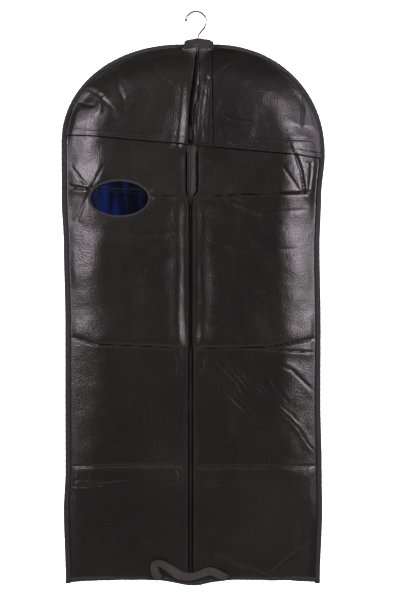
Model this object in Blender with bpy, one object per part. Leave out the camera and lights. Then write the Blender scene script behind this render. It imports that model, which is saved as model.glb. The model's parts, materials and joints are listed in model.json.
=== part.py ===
# Garment bag (suit cover) hanging on a coat hanger.
# Units are metres, +Z up.  The front of the bag faces -Y and its back lies in one flat plane at +Y.
# The origin is the inner crown of the hanger's hook, where a rail carries it.
import math

import bmesh
import bpy

for leftover in list(bpy.data.objects):
    bpy.data.objects.remove(leftover, do_unlink=True)

# ---------------------------------------------------------------- driving dimensions
GAP = 0.0004          # clearance between pieces that touch
HEM_GAP = 0.0016      # the panels stop this far above the hem binding's inner edge
CLOTH = 0.0010        # thickness of one cloth panel
BACK_Y = 0.0160       # outer face of the flat back
EDGE_Y = 0.0120       # outer face of the front panels where they meet the side seams
BIND_W = 0.0105       # width of the folded edge binding
BIND_FRONT_Y = 0.0092 # front face of the binding

CHEST_Z = -0.260      # above this height the bag has its full depth
CHEST_T = 0.042       # depth of the front's bulge at the chest
HEM_T = 0.003         # and at the hem
HEM_Z = -1.310
EDGE_R = 0.090        # the front curves over this distance from its side seams

NECK_X = 0.0060       # middle of the neck slot
NECK_HALF = 0.0365    # half its width
NECK_TOP_Z = -0.0620
NECK_LOW_Z = -0.0755

ARCH_N = 2.08         # exponent of the shoulder arches
LEFT_ARCH = (-0.0310, -0.0720, 0.2810, 0.2280)   # start x, top z, half width, height
RIGHT_ARCH = (0.0390, -0.0720, 0.2595, 0.2530)

ZIP_X = -0.0125       # centre line of the zip
SLIT = 0.0048         # half the width of the opening between the front panels
YOKE_OUT = 0.0024     # the yoke's outer face stands this far in front of the panels

FOLD_MIDDLE_Z = -0.7720
FOLD_MIDDLE_Y = BACK_Y + 0.0030
FOLD_LOWER_Z = -1.0475

WINDOW_X, WINDOW_Z = -0.1760, -0.4317
WINDOW_A, WINDOW_B = 0.0675, 0.0400

HOOK_WIRE = 0.0019
HOOK_R = 0.0237
STEM_X = 0.0050

SLIDER_Z = -0.2720    # the slider's middle when the bag is closed
HANDLE_W = 0.021
HANDLE_T = 0.0014

# ---------------------------------------------------------------- outline of the bag
LEFT_SIDE = ((-0.300, -0.3120), (-0.430, -0.3115), (-0.540, -0.3065), (-0.720, -0.3030),
             (-0.900, -0.3030), (-1.060, -0.3025), (-1.150, -0.3065), (-1.320, -0.3020))
RIGHT_SIDE = ((-0.325, 0.2985), (-0.430, 0.2900), (-0.540, 0.2865), (-0.720, 0.2890),
              (-0.900, 0.2885), (-1.060, 0.2915), (-1.150, 0.2925), (-1.320, 0.2870))


def along(table, z):
    """Reads a side's x at height z from its table of (z, x), eased between the entries."""
    if z >= table[0][0]:
        return table[0][1]
    for (z0, x0), (z1, x1) in zip(table, table[1:]):
        if z >= z1:
            t = (z0 - z) / (z0 - z1)
            t = t * t * (3 - 2 * t)
            return x0 + (x1 - x0) * t
    return table[-1][1]


def side_x(side, z):
    """The bag's edge at height z: the side's own line, and the arch above its start."""
    x0, top, half, high = LEFT_ARCH if side < 0 else RIGHT_ARCH
    up = (z - (top - high)) / high
    if up > 0:
        return x0 + side * half * max(0.0, 1 - min(up, 1.0) ** ARCH_N) ** (1 / ARCH_N)
    return along(LEFT_SIDE if side < 0 else RIGHT_SIDE, z)


def left_x(z):
    return side_x(-1, z)


def right_x(z):
    return side_x(1, z)


def arch(side, t, inset=0.0):
    """A point of the shoulder arch: t = 0 at the side, 1 at the neck; inset is towards the inside."""
    x0, top, half, high = LEFT_ARCH if side < 0 else RIGHT_ARCH
    a, h = half - inset, high - inset
    angle = t * math.pi / 2
    e = 2 / ARCH_N
    return (x0 + side * a * math.cos(angle) ** e, (top - high) + h * math.sin(angle) ** e)


def seam_z(x):
    """The lower edge of the yoke, which slopes down to the right."""
    return -0.3098 - 0.091 * x


def hem_z(x):
    """The hem is a little lower in its middle and at its corners."""
    return -1.3135 - 0.0130 * math.exp(-(((x + 0.008) / 0.050) ** 2)) - 0.006 * abs((x + 0.007) / 0.30) ** 4


def slit_x(z):
    """Centre line of the front opening: straight down the zip, leaning to the neck in the yoke."""
    if z <= -0.255:
        return ZIP_X
    t = min(1.0, (z + 0.255) / 0.170)
    return ZIP_X + 0.0165 * t * t * (3 - 2 * t)


INSET = BIND_W + 0.0015
OUTLINE = [[], []]
for n, side in enumerate((-1, 1)):
    for i in range(41):
        OUTLINE[n].append(arch(side, 1 - i / 40, INSET))
    start = OUTLINE[n][-1][1]
    for i in range(1, 31):
        z = start + (-1.330 - start) * i / 30
        x = left_x(z) + INSET if side < 0 else right_x(z) - INSET
        OUTLINE[n].append((x, z))


def edge_distance(x, z):
    best = 1.0
    for line in OUTLINE:
        for (ax, az), (bx, bz) in zip(line, line[1:]):
            dx, dz = bx - ax, bz - az
            t = max(0.0, min(1.0, ((x - ax) * dx + (z - az) * dz) / (dx * dx + dz * dz)))
            best = min(best, math.hypot(x - ax - t * dx, z - az - t * dz))
    return best


def bulge(z):
    if z > CHEST_Z:
        return CHEST_T
    return CHEST_T + (HEM_T - CHEST_T) * (CHEST_Z - z) / (CHEST_Z - HEM_Z)


def front_y(x, z):
    """Outer face of the front panels."""
    d = edge_distance(x, z)
    return EDGE_Y - bulge(z) * math.sin(math.pi / 2 * min(d / EDGE_R, 1.0))


def zip_y(z):
    """The zip's straight line: the front's outer face at its centre."""
    return EDGE_Y - (CHEST_T + (HEM_T - CHEST_T) * (CHEST_Z - z) / (CHEST_Z - HEM_Z))


FOLD_LOWER_Y = zip_y(FOLD_LOWER_Z) - 0.0045
ZIP_DIR_Y = (zip_y(-1.2) - zip_y(-0.3)) / (-0.9)   # dy per metre of z along the zip

# ---------------------------------------------------------------- materials
MATERIALS = {}


def material(name, colour, roughness, metallic=0.0, alpha=1.0):
    if name not in MATERIALS:
        m = bpy.data.materials.new(name)
        m.use_nodes = True
        shader = m.node_tree.nodes["Principled BSDF"]
        shader.inputs["Base Color"].default_value = (*colour, 1)
        shader.inputs["Roughness"].default_value = roughness
        shader.inputs["Metallic"].default_value = metallic
        shader.inputs["Alpha"].default_value = alpha
        MATERIALS[name] = m
    return MATERIALS[name]


SHELL = ("shell_cloth", (0.026, 0.024, 0.025), 0.42)
BINDING = ("binding_cloth", (0.015, 0.014, 0.015), 0.60)
TAPE = ("zip_tape", (0.020, 0.019, 0.020), 0.75)
COIL = ("zip_coil", (0.012, 0.012, 0.013), 0.35)
BLACK_METAL = ("slider_metal", (0.020, 0.020, 0.022), 0.30, 0.8)
CHROME = ("hook_chrome", (0.75, 0.75, 0.76), 0.10, 1.0)
WOOD = ("hanger_wood", (0.35, 0.20, 0.10), 0.45)
FILM = ("window_film", (0.02, 0.05, 0.16), 0.12, 0.0, 0.6)
WEBBING = ("handle_webbing", (0.040, 0.035, 0.032), 0.80)


# ---------------------------------------------------------------- mesh helpers
def new_object(name, verts, faces, finish, smooth=False, origin=(0, 0, 0)):
    mesh = bpy.data.meshes.new(name)
    ox, oy, oz = origin
    mesh.from_pydata([(x - ox, y - oy, z - oz) for x, y, z in verts], [], faces)
    shape = bmesh.new()
    shape.from_mesh(mesh)
    bmesh.ops.recalc_face_normals(shape, faces=shape.faces)
    if shape.calc_volume(signed=True) < 0:
        bmesh.ops.reverse_faces(shape, faces=shape.faces)
    shape.to_mesh(mesh)
    shape.free()
    mesh.update()
    if smooth:
        mesh.shade_smooth()
        mesh.set_sharp_from_angle(angle=math.radians(40))
    mesh.materials.append(material(*finish))
    o = bpy.data.objects.new(name, mesh)
    o.location = origin
    bpy.context.scene.collection.objects.link(o)
    return o


def slab(name, place, nu, nv, near, far, finish, origin=(0, 0, 0), smooth=True):
    """A closed sheet over a grid: place(u, v) gives (x, z); near and far give y of its -Y and +Y faces."""
    pts = [[place(i / nu, j / nv) for j in range(nv + 1)] for i in range(nu + 1)]
    cols = nv + 1
    verts = [(x, near(x, z), z) for row in pts for x, z in row]
    verts += [(x, far(x, z), z) for row in pts for x, z in row]
    half = (nu + 1) * cols
    (x0, z0), (x1, z1), (x2, z2) = pts[0][0], pts[-1][0], pts[0][-1]
    # u across v must turn so that the near face looks along -Y
    flip = (x1 - x0) * (z2 - z0) - (z1 - z0) * (x2 - x0) < 0
    faces = []

    def face(*ids):
        faces.append(tuple(reversed(ids)) if flip else ids)

    for i in range(nu):
        for j in range(nv):
            a, b, c, d = i * cols + j, (i + 1) * cols + j, (i + 1) * cols + j + 1, i * cols + j + 1
            face(a, b, c, d)
            face(half + d, half + c, half + b, half + a)
    rim = [i * cols for i in range(nu + 1)]
    rim += [nu * cols + j for j in range(1, nv + 1)]
    rim += [i * cols + nv for i in range(nu - 1, -1, -1)]
    rim += [j for j in range(nv - 1, 0, -1)]
    for a, b in zip(rim, rim[1:] + rim[:1]):
        face(b, a, half + a, half + b)
    return new_object(name, verts, faces, finish, smooth, origin)


def prism(name, outline, y0, y1, finish, origin=(0, 0, 0)):
    """An outline of (x, z) points, anticlockwise seen from the front, between y0 (front) and y1."""
    n = len(outline)
    verts = [(x, y0, z) for x, z in outline] + [(x, y1, z) for x, z in outline]
    faces = [tuple(range(n)), tuple(range(2 * n - 1, n - 1, -1))]
    faces += [((i + 1) % n, i, n + i, n + (i + 1) % n) for i in range(n)]
    return new_object(name, verts, faces, finish, False, origin)


def boxed(name, parts, finish, origin=(0, 0, 0)):
    """Boxes that overlap each other, joined by exact Boolean unions; each is (x0, x1, y0, y1, z0, z1)."""
    made = []
    for k, (x0, x1, y0, y1, z0, z1) in enumerate(parts):
        v = [(x, y, z) for z in (z0, z1) for y in (y0, y1) for x in (x0, x1)]
        f = [(0, 2, 3, 1), (4, 5, 7, 6), (0, 1, 5, 4), (2, 6, 7, 3), (0, 4, 6, 2), (1, 3, 7, 5)]
        made.append(new_object(name if k == 0 else f"{name}_union_{k}", v, f, finish, False, origin))
    for other in made[1:]:
        other.hide_render = True
        other.display_type = "WIRE"
        m = made[0].modifiers.new("union", "BOOLEAN")
        m.operation = "UNION"
        m.solver = "EXACT"
        m.object = other
    return made[0]


def lerp(a, b, t):
    return a + (b - a) * t


def spread(u, both=True):
    """Closer spacing towards the side seams, where the cloth curves most."""
    if both:
        return u - 0.5 * math.sin(2 * math.pi * u) / (2 * math.pi)
    return u ** 1.45


# ---------------------------------------------------------------- hanger
def hook_path():
    cx, cz = 0.0, HOOK_WIRE - 0.0 - HOOK_R
    points = []
    for i in range(0, 31):
        a = math.radians(lerp(172, -40, i / 30))
        points.append((cx + HOOK_R * math.cos(a), cz + HOOK_R * math.sin(a)))
    # straight run from the loop to the bend above the stem, then the stem
    ax, az = points[-1]
    corner = (STEM_X, az - (ax - STEM_X) * math.tan(math.radians(50)))
    low = (STEM_X, corner[1] - 0.008)
    into = (lerp(corner[0], ax, 0.42), lerp(corner[1], az, 0.42))
    points.append((lerp(ax, into[0], 0.5), lerp(az, into[1], 0.5)))
    for i in range(0, 7):
        t = i / 6
        x = (1 - t) ** 2 * into[0] + 2 * t * (1 - t) * corner[0] + t * t * low[0]
        z = (1 - t) ** 2 * into[1] + 2 * t * (1 - t) * corner[1] + t * t * low[1]
        points.append((x, z))
    points.append((STEM_X, -0.1100))
    return points


def hook():
    points = hook_path()
    curve = bpy.data.curves.new("hanger_hook", "CURVE")
    curve.dimensions = "3D"
    curve.bevel_depth = HOOK_WIRE
    curve.bevel_resolution = 2
    curve.use_fill_caps = True
    curve.render_resolution_u = 0
    spline = curve.splines.new("POLY")
    spline.points.add(len(points) - 1)
    for p, (x, z) in zip(spline.points, points):
        p.co = (x - STEM_X, 0, z, 1)
    curve.materials.append(material(*CHROME))
    wire = bpy.data.objects.new("hook_wire_guide", curve)
    wire.location = (STEM_X, 0, 0)
    bpy.context.scene.collection.objects.link(wire)
    bpy.context.view_layer.update()
    mesh = bpy.data.meshes.new_from_object(wire.evaluated_get(bpy.context.evaluated_depsgraph_get()))
    bpy.data.objects.remove(wire, do_unlink=True)
    mesh.name = "hanger_hook"
    mesh.shade_smooth()
    o = bpy.data.objects.new("hanger_hook", mesh)
    o.location = (STEM_X, 0, 0)
    bpy.context.scene.collection.objects.link(o)
    weld = o.modifiers.new("weld caps", "WELD")
    weld.merge_threshold = 0.00001
    # rounded ball at the hook's free end
    bx, bz = points[0]
    rings, sides, r = 8, 14, 0.0034
    verts, faces = [(bx, 0, bz + r)], []
    for i in range(1, rings):
        a = math.pi * i / rings
        for j in range(sides):
            b = 2 * math.pi * j / sides
            verts.append((bx + r * math.sin(a) * math.cos(b), r * math.sin(a) * math.sin(b), bz + r * math.cos(a)))
    verts.append((bx, 0, bz - r))
    last = len(verts) - 1
    for j in range(sides):
        k = (j + 1) % sides
        faces.append((0, 1 + j, 1 + k))
        for i in range(rings - 2):
            p, q = 1 + i * sides, 1 + (i + 1) * sides
            faces.append((p + j, q + j, q + k, p + k))
        p = 1 + (rings - 2) * sides
        faces.append((p + k, p + j, last))
    ball = new_object("hook_ball_shape", verts, faces, CHROME, True)
    ball.hide_render = True
    ball.display_type = "WIRE"
    join = o.modifiers.new("ball tip", "BOOLEAN")
    join.operation = "UNION"
    join.solver = "EXACT"
    join.object = ball
    return o


hook()

HANGER_TOP_Z = -0.1000
HANGER_HALF = 0.2000


def hanger():
    """Two shoulder arms that curve down from the middle, thinner towards their ends."""
    n = 20
    verts, faces = [], []
    for i in range(n + 1):
        s = -1 + 2 * i / n
        x = STEM_X + s * HANGER_HALF
        k = abs(s)
        top = HANGER_TOP_Z - 0.0780 * k ** 1.35
        low = top - lerp(0.0340, 0.0230, k) + (0.006 if k < 0.02 else 0)
        half = lerp(0.0050, 0.0038, k)
        mid = (top + low) / 2
        for y, z in ((-half * 0.55, top), (-half, lerp(top, mid, 0.45)), (-half, lerp(low, mid, 0.45)), (-half * 0.55, low),
                     (half * 0.55, low), (half, lerp(low, mid, 0.45)), (half, lerp(top, mid, 0.45)), (half * 0.55, top)):
            verts.append((x, y, z))
    for i in range(n):
        for j in range(8):
            k = (j + 1) % 8
            a, b = i * 8, (i + 1) * 8
            faces.append((a + j, a + k, b + k, b + j))
    faces.append(tuple(range(7, -1, -1)))
    faces.append(tuple(n * 8 + j for j in range(8)))
    o = new_object("hanger_body", verts, faces, WOOD, True)
    # blind hole for the hook's stem
    sides, r = 16, HOOK_WIRE + GAP
    v = [(STEM_X + r * math.cos(2 * math.pi * j / sides), r * math.sin(2 * math.pi * j / sides), z)
         for z in (-0.1130, -0.0870) for j in range(sides)]
    f = [tuple(range(sides - 1, -1, -1)), tuple(range(sides, 2 * sides))]
    f += [(j, (j + 1) % sides, sides + (j + 1) % sides, sides + j) for j in range(sides)]
    drill = new_object("stem_hole_cutter", v, f, WOOD)
    drill.hide_render = True
    drill.display_type = "WIRE"
    m = o.modifiers.new("stem hole", "BOOLEAN")
    m.operation = "DIFFERENCE"
    m.solver = "EXACT"
    m.object = drill
    return o


hanger()


def ring(name, cx, cy, r0, r1, z0, z1, finish, sides=20):
    verts = []
    for z, r in ((z0, r0), (z0, r1), (z1, r1 * 0.86), (z1, r0)):
        verts += [(cx + r * math.cos(2 * math.pi * j / sides), cy + r * math.sin(2 * math.pi * j / sides), z) for j in range(sides)]
    faces = []
    for a in range(4):
        b = (a + 1) % 4
        for j in range(sides):
            k = (j + 1) % sides
            faces.append((a * sides + j, a * sides + k, b * sides + k, b * sides + j))
    return new_object(name, verts, faces, finish, True)


ring("hook_ferrule", STEM_X, 0.0, HOOK_WIRE + GAP, 0.0052, HANGER_TOP_Z + GAP, HANGER_TOP_Z + 0.0075, CHROME)


# ---------------------------------------------------------------- yoke over the shoulders
def yoke_side(side):
    """Boundary curves of one half of the yoke: along its lower seam, and over the arch to the neck."""
    x_in = slit_x(-0.31) - SLIT if side < 0 else 0.0362
    x_out = (left_x(-0.29) + INSET) if side < 0 else (right_x(-0.33) - INSET)
    top = NECK_LOW_Z - GAP
    corner = NECK_X + side * NECK_HALF
    over = []
    low_t = 0.02
    for i in range(31):
        over.append(arch(side, lerp(low_t, 1.0, i / 30), INSET))
    over = [p for p in over if (p[0] - corner) * side > 0.0005]
    over.append((corner - side * 0.0006, over[-1][1] - 0.0004))
    over.append((corner - side * 0.0020, top))
    end = slit_x(top) - SLIT if side < 0 else 0.0332
    over.append((end, top))
    lengths = [0.0]
    for (ax, az), (bx, bz) in zip(over, over[1:]):
        lengths.append(lengths[-1] + math.hypot(bx - ax, bz - az))

    def upper(s):
        d = s * lengths[-1]
        for k in range(len(over) - 1):
            if d <= lengths[k + 1] or k == len(over) - 2:
                t = (d - lengths[k]) / (lengths[k + 1] - lengths[k])
                return lerp(over[k][0], over[k + 1][0], t), lerp(over[k][1], over[k + 1][1], t)

    def inner(z):
        return slit_x(z) - SLIT if side < 0 else lerp(0.0362, 0.0332, (z + 0.31) / 0.235)

    def place(u, v):
        s = spread(u, False)
        sx = lerp(x_out, x_in, s)
        sz = seam_z(sx)
        ax, az = upper(s)
        x, z = lerp(sx, ax, v), lerp(sz, az, v)
        ex = lerp(x_in, end, v)
        return x + s ** 4 * (inner(z) - ex), z

    return place


def yoke_near(x, z):
    return front_y(x, z) - YOKE_OUT


def yoke_far(x, z):
    return front_y(x, z) - YOKE_OUT + CLOTH


slab("yoke_left", yoke_side(-1), 16, 9, yoke_near, yoke_far, SHELL)
slab("yoke_right", yoke_side(1), 16, 9, yoke_near, yoke_far, SHELL)


def placket_place(u, v):
    top = NECK_LOW_Z - GAP
    low = seam_z(0.012)
    z = lerp(low, top, v)
    a = slit_x(z) + SLIT
    b = lerp(0.0362, 0.0332, (z + 0.31) / 0.235) - GAP
    x = lerp(a, b, u)
    if v == 0:
        z = seam_z(x)
    return x, z


slab("yoke_placket", placket_place, 3, 14, yoke_near, yoke_far, SHELL)
slab("yoke_underlap", lambda u, v: (slit_x(lerp(-0.2360, -0.0790, v)) + lerp(-0.014, 0.014, u), lerp(-0.2360, -0.0790, v)),
     4, 10, lambda x, z: front_y(x, z) + 0.0006, lambda x, z: front_y(x, z) + 0.0016, SHELL)


# ---------------------------------------------------------------- neck slot
def collar(name, back):
    """One lip of the neck slot: the front lip is a shallow arc, the back lip lies in the back's plane."""
    y_front = front_y(NECK_X, -0.078) - 0.0012
    n = 12 if not back else 4
    verts, faces = [], []
    for i in range(n + 1):
        t = i / n
        a = math.pi * (1 - t)
        if back:
            x = NECK_X - NECK_HALF + 2 * NECK_HALF * t
            y0, y1 = BACK_Y - 0.0014, BACK_Y
        else:
            x = NECK_X + (NECK_HALF - 0.0003) * math.cos(a)
            y0 = BACK_Y - 0.0034 - (BACK_Y - 0.0034 - y_front) * math.sin(a) ** 0.8
            y1 = y0 + 0.0014
            if i in (0, n):
                y0 = y1 - 0.0022
        rise = NECK_LOW_Z + (NECK_TOP_Z - NECK_LOW_Z) * (0.68 + 0.32 * math.sin(math.pi * t) ** 0.7)
        verts += [(x, y0, NECK_LOW_Z), (x, y1, NECK_LOW_Z), (x, y1, rise), (x, y0, rise)]
    for i in range(n):
        a, b = i * 4, (i + 1) * 4
        for j in range(4):
            k = (j + 1) % 4
            faces.append((a + j, a + k, b + k, b + j))
    faces.append((3, 2, 1, 0))
    faces.append((n * 4, n * 4 + 1, n * 4 + 2, n * 4 + 3))
    return new_object(name, verts, faces, BINDING, True)


collar("neck_collar_front", False)
collar("neck_collar_back", True)

# ---------------------------------------------------------------- front panels
SECTIONS = {
    "upper": (None, FOLD_MIDDLE_Z + GAP),
    "middle": (FOLD_MIDDLE_Z - GAP, FOLD_LOWER_Z + GAP),
    "lower": (FOLD_LOWER_Z - GAP, None),
}


def limits_of(section, x):
    top, low = SECTIONS[section]
    if top is None:
        top = seam_z(x) + 0.010
    if low is None:
        low = hem_z(x) + INSET + HEM_GAP
    return top, low


def near(x, z):
    return front_y(x, z)


def far(x, z):
    return front_y(x, z) + CLOTH


def front_place(section, side):
    def place(u, v):
        s = spread(u, False)
        guess = lerp(left_x(-0.5) if side < 0 else right_x(-0.5), ZIP_X, s)
        top, low = limits_of(section, guess)
        z = lerp(top, low, v)
        if side < 0:
            return lerp(left_x(z) + INSET, ZIP_X - SLIT, s), z
        return lerp(right_x(z) - INSET, ZIP_X + SLIT, s), z

    return place


ROWS = {"upper": 14, "middle": 8, "lower": 8}
for section in SECTIONS:
    for side, word in ((-1, "left"), (1, "right")):
        slab(f"front_{word}_{section}", front_place(section, side), 12, ROWS[section], near, far, SHELL)

# the oval window is cut out of the upper left panel, with the clear film welded behind it
ELLIPSE = 36


def window_loop(grow):
    return [(WINDOW_X + (WINDOW_A + grow) * math.cos(2 * math.pi * i / ELLIPSE),
             WINDOW_Z + (WINDOW_B + grow) * math.sin(2 * math.pi * i / ELLIPSE)) for i in range(ELLIPSE)]


cutter = prism("window_cutter", window_loop(0.0), -0.20, 0.012, SHELL)
cutter.hide_render = True
cutter.display_type = "WIRE"
panel = bpy.data.objects["front_left_upper"]
cut = panel.modifiers.new("window", "BOOLEAN")
cut.operation = "DIFFERENCE"
cut.solver = "EXACT"
cut.object = cutter


def oval(name, grows, near_off, far_off, finish, centre):
    """A sheet that follows the front: rings of the window's ellipse, closed in the middle or left as a band."""
    verts, faces = [], []
    for off in (near_off, far_off):
        for grow in grows:
            if grow is None:
                continue
            scale = grow if centre else None
            for i in range(ELLIPSE):
                a = 2 * math.pi * i / ELLIPSE
                if centre:
                    x = WINDOW_X + (WINDOW_A + 0.005) * scale * math.cos(a)
                    z = WINDOW_Z + (WINDOW_B + 0.005) * scale * math.sin(a)
                else:
                    x = WINDOW_X + (WINDOW_A + grow) * math.cos(a)
                    z = WINDOW_Z + (WINDOW_B + grow) * math.sin(a)
                verts.append((x, front_y(x, z) + off, z))
    rings = len(grows)
    n = ELLIPSE
    for layer in range(2):
        base = layer * rings * n
        for r in range(rings - 1):
            for i in range(n):
                k = (i + 1) % n
                quad = (base + r * n + i, base + (r + 1) * n + i, base + (r + 1) * n + k, base + r * n + k)
                faces.append(quad if layer else tuple(reversed(quad)))
    outer, back = 0, rings * n
    for i in range(n):
        k = (i + 1) % n
        faces.append((outer + i, outer + k, back + k, back + i)[::-1])
    if centre:
        last = (rings - 1) * n
        verts.append((WINDOW_X, front_y(WINDOW_X, WINDOW_Z) + near_off, WINDOW_Z))
        verts.append((WINDOW_X, front_y(WINDOW_X, WINDOW_Z) + far_off, WINDOW_Z))
        c0, c1 = len(verts) - 2, len(verts) - 1
        for i in range(n):
            k = (i + 1) % n
            faces.append((c0, last + i, last + k))
            faces.append((c1, back + last + k, back + last + i))
    else:
        last = (rings - 1) * n
        for i in range(n):
            k = (i + 1) % n
            faces.append((last + i, last + k, back + last + k, back + last + i))
    return new_object(name, verts, faces, finish, True)


oval("window_film", (1.0, 0.8, 0.55, 0.28), CLOTH + 0.0009, CLOTH + 0.0014, FILM, True)
oval("window_rim", (0.0048, -0.0010), -0.0014, -0.0006, BINDING, False)

# ---------------------------------------------------------------- back panels, one flat sheet in three sections
BACK_IN = BACK_Y - CLOTH


def back_upper_outline():
    pts = []
    low = FOLD_MIDDLE_Z + GAP
    for i in range(13):
        z = lerp(low, -0.3262, i / 12)
        pts.append((right_x(z) - INSET, z))
    for i in range(1, 25):
        x, z = arch(1, 0.985 * i / 24, INSET)
        if x > NECK_X + NECK_HALF + 0.0004:
            pts.append((x, z))
    pts.append((NECK_X + NECK_HALF, arch(1, 0.985, INSET)[1] - 0.0008))
    pts.append((NECK_X + NECK_HALF, NECK_LOW_Z - GAP))
    pts.append((NECK_X - NECK_HALF, NECK_LOW_Z - GAP))
    pts.append((NECK_X - NECK_HALF, arch(-1, 0.985, INSET)[1] - 0.0008))
    for i in range(24, 0, -1):
        x, z = arch(-1, 0.985 * i / 24, INSET)
        if x < NECK_X - NECK_HALF - 0.0004:
            pts.append((x, z))
    for i in range(13):
        z = lerp(-0.3012, low, i / 12)
        pts.append((left_x(z) + INSET, z))
    return pts


def band_outline(top, low_of, rows=8, across=28):
    pts = []
    for i in range(across + 1):
        u = i / across
        z = low_of(None)
        x = lerp(left_x(z) + INSET, right_x(z) - INSET, u)
        pts.append((x, low_of(x)))
    for i in range(1, rows + 1):
        z = lerp(pts[across][1], top, i / rows)
        pts.append((right_x(z) - INSET, z))
    for i in range(rows + 1):
        z = lerp(top, pts[0][1], i / rows)
        if 0 < i < rows:
            pts.append((left_x(z) + INSET, z))
        elif i == 0:
            pts.append((left_x(z) + INSET, z))
    return pts


prism("back_upper", back_upper_outline(), BACK_IN, BACK_Y, SHELL)
prism("back_middle", band_outline(FOLD_MIDDLE_Z - GAP, lambda x: FOLD_LOWER_Z + GAP), BACK_IN, BACK_Y, SHELL)
prism("back_lower", band_outline(FOLD_LOWER_Z - GAP, lambda x: -1.310 + INSET if x is None else hem_z(x) + INSET + HEM_GAP), BACK_IN, BACK_Y, SHELL)


# ---------------------------------------------------------------- folded edge bindings
def bound(name, place, nu, nv=1):
    return slab(name, place, nu, nv, lambda x, z: BIND_FRONT_Y, lambda x, z: BACK_Y, BINDING)


def arch_binding(side):
    end = NECK_X + side * (NECK_HALF + 0.0010)

    def place(u, v):
        t = lerp(0.0, 0.985, u)
        x, z = arch(side, t, lerp(0.0, BIND_W, v))
        if (x - end) * side < 0:
            x = end
        return x, z

    return place


bound("binding_arch_left", arch_binding(-1), 24)
bound("binding_arch_right", arch_binding(1), 24)


def side_binding(side, section):
    top, low = SECTIONS[section]
    if top is None:
        top = (LEFT_ARCH[1] - LEFT_ARCH[3] if side < 0 else RIGHT_ARCH[1] - RIGHT_ARCH[3]) - GAP
    corner = low is None
    edge = left_x if side < 0 else right_x

    def place(u, v):
        low_here = low
        if corner:
            low_here = hem_z(edge(-1.31)) - 0.0
        z = lerp(top, low_here, u)
        return edge(z) - side * lerp(0.0, BIND_W, v), z

    return place


for section in SECTIONS:
    for side, word in ((-1, "left"), (1, "right")):
        bound(f"binding_{word}_{section}", side_binding(side, section), ROWS[section])


def hem_place(u, v):
    x = lerp(left_x(-1.315) + INSET, right_x(-1.315) - INSET, u)
    return x, hem_z(x) + lerp(0.0, BIND_W, v)


bound("binding_hem", hem_place, 28)

# ---------------------------------------------------------------- zip: two tapes and two coils in each section
ZIP_TOP_Z = -0.2400
ZIP_LOW_Z = -1.3000
TAPE_W = 0.0150
SPANS = {"upper": (ZIP_TOP_Z, FOLD_MIDDLE_Z + GAP), "middle": (FOLD_MIDDLE_Z - GAP, FOLD_LOWER_Z + GAP), "lower": (FOLD_LOWER_Z - GAP, ZIP_LOW_Z)}


def bar(name, x0, x1, y0, y1, top, low, finish):
    verts = []
    for z in (low, top):
        y = zip_y(z)
        verts += [(x0, y + y0, z), (x1, y + y0, z), (x1, y + y1, z), (x0, y + y1, z)]
    faces = [(0, 3, 2, 1), (4, 5, 6, 7), (0, 1, 5, 4), (1, 2, 6, 5), (2, 3, 7, 6), (3, 0, 4, 7)]
    return new_object(name, verts, faces, finish)


for section, (top, low) in SPANS.items():
    bar(f"zip_tape_left_{section}", ZIP_X - TAPE_W, ZIP_X - 0.0004, 0.0020, 0.0026, top, low, TAPE)
    bar(f"zip_tape_right_{section}", ZIP_X + 0.0004, ZIP_X + TAPE_W, 0.0020, 0.0026, top, low, TAPE)
    coil_top = top - 0.025 if section == "upper" else top
    coil_low = low + 0.012 if section == "lower" else low
    bar(f"zip_coil_left_{section}", ZIP_X - 0.0028, ZIP_X - 0.0004, -0.0006, 0.0017, coil_top, coil_low, COIL)
    bar(f"zip_coil_right_{section}", ZIP_X + 0.0004, ZIP_X + 0.0028, -0.0006, 0.0017, coil_top, coil_low, COIL)

top_z = ZIP_TOP_Z - 0.025 + GAP
bar("zip_top_stop", ZIP_X - 0.0030, ZIP_X + 0.0030, -0.0008, 0.0017, top_z + 0.0040, top_z, BLACK_METAL)
low_z = ZIP_LOW_Z + 0.012 - GAP
bar("zip_bottom_stop", ZIP_X - 0.0034, ZIP_X + 0.0034, -0.0008, 0.0017, low_z, low_z - 0.0050, BLACK_METAL)

# slider: a plate in front of the coils and one behind the tapes, with a thin post between the coils
SY = zip_y(SLIDER_Z)
slider = boxed(
    "zip_slider",
    (
        (ZIP_X - 0.0043, ZIP_X + 0.0043, SY - 0.0026, SY - 0.0013, SLIDER_Z - 0.0065, SLIDER_Z + 0.0065),
        (ZIP_X - 0.0043, ZIP_X + 0.0043, SY + 0.0034, SY + 0.0046, SLIDER_Z - 0.0065, SLIDER_Z + 0.0065),
        (ZIP_X - 0.00024, ZIP_X + 0.00024, SY - 0.0020, SY + 0.0040, SLIDER_Z - 0.0010, SLIDER_Z + 0.0050),
        (ZIP_X - 0.0043, ZIP_X - 0.0036, SY - 0.0020, SY + 0.0004, SLIDER_Z - 0.0060, SLIDER_Z + 0.0060),
        (ZIP_X + 0.0036, ZIP_X + 0.0043, SY - 0.0020, SY + 0.0004, SLIDER_Z - 0.0060, SLIDER_Z + 0.0060),
        (ZIP_X - 0.0008, ZIP_X + 0.0008, SY - 0.0068, SY - 0.0058, SLIDER_Z - 0.0032, SLIDER_Z + 0.0032),
        (ZIP_X - 0.0008, ZIP_X + 0.0008, SY - 0.0065, SY - 0.0020, SLIDER_Z + 0.0022, SLIDER_Z + 0.0032),
        (ZIP_X - 0.0008, ZIP_X + 0.0008, SY - 0.0065, SY - 0.0020, SLIDER_Z - 0.0032, SLIDER_Z - 0.0022),
    ),
    BLACK_METAL,
    origin=(ZIP_X, SY, SLIDER_Z),
)
PULL_Y = SY - 0.0048
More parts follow.
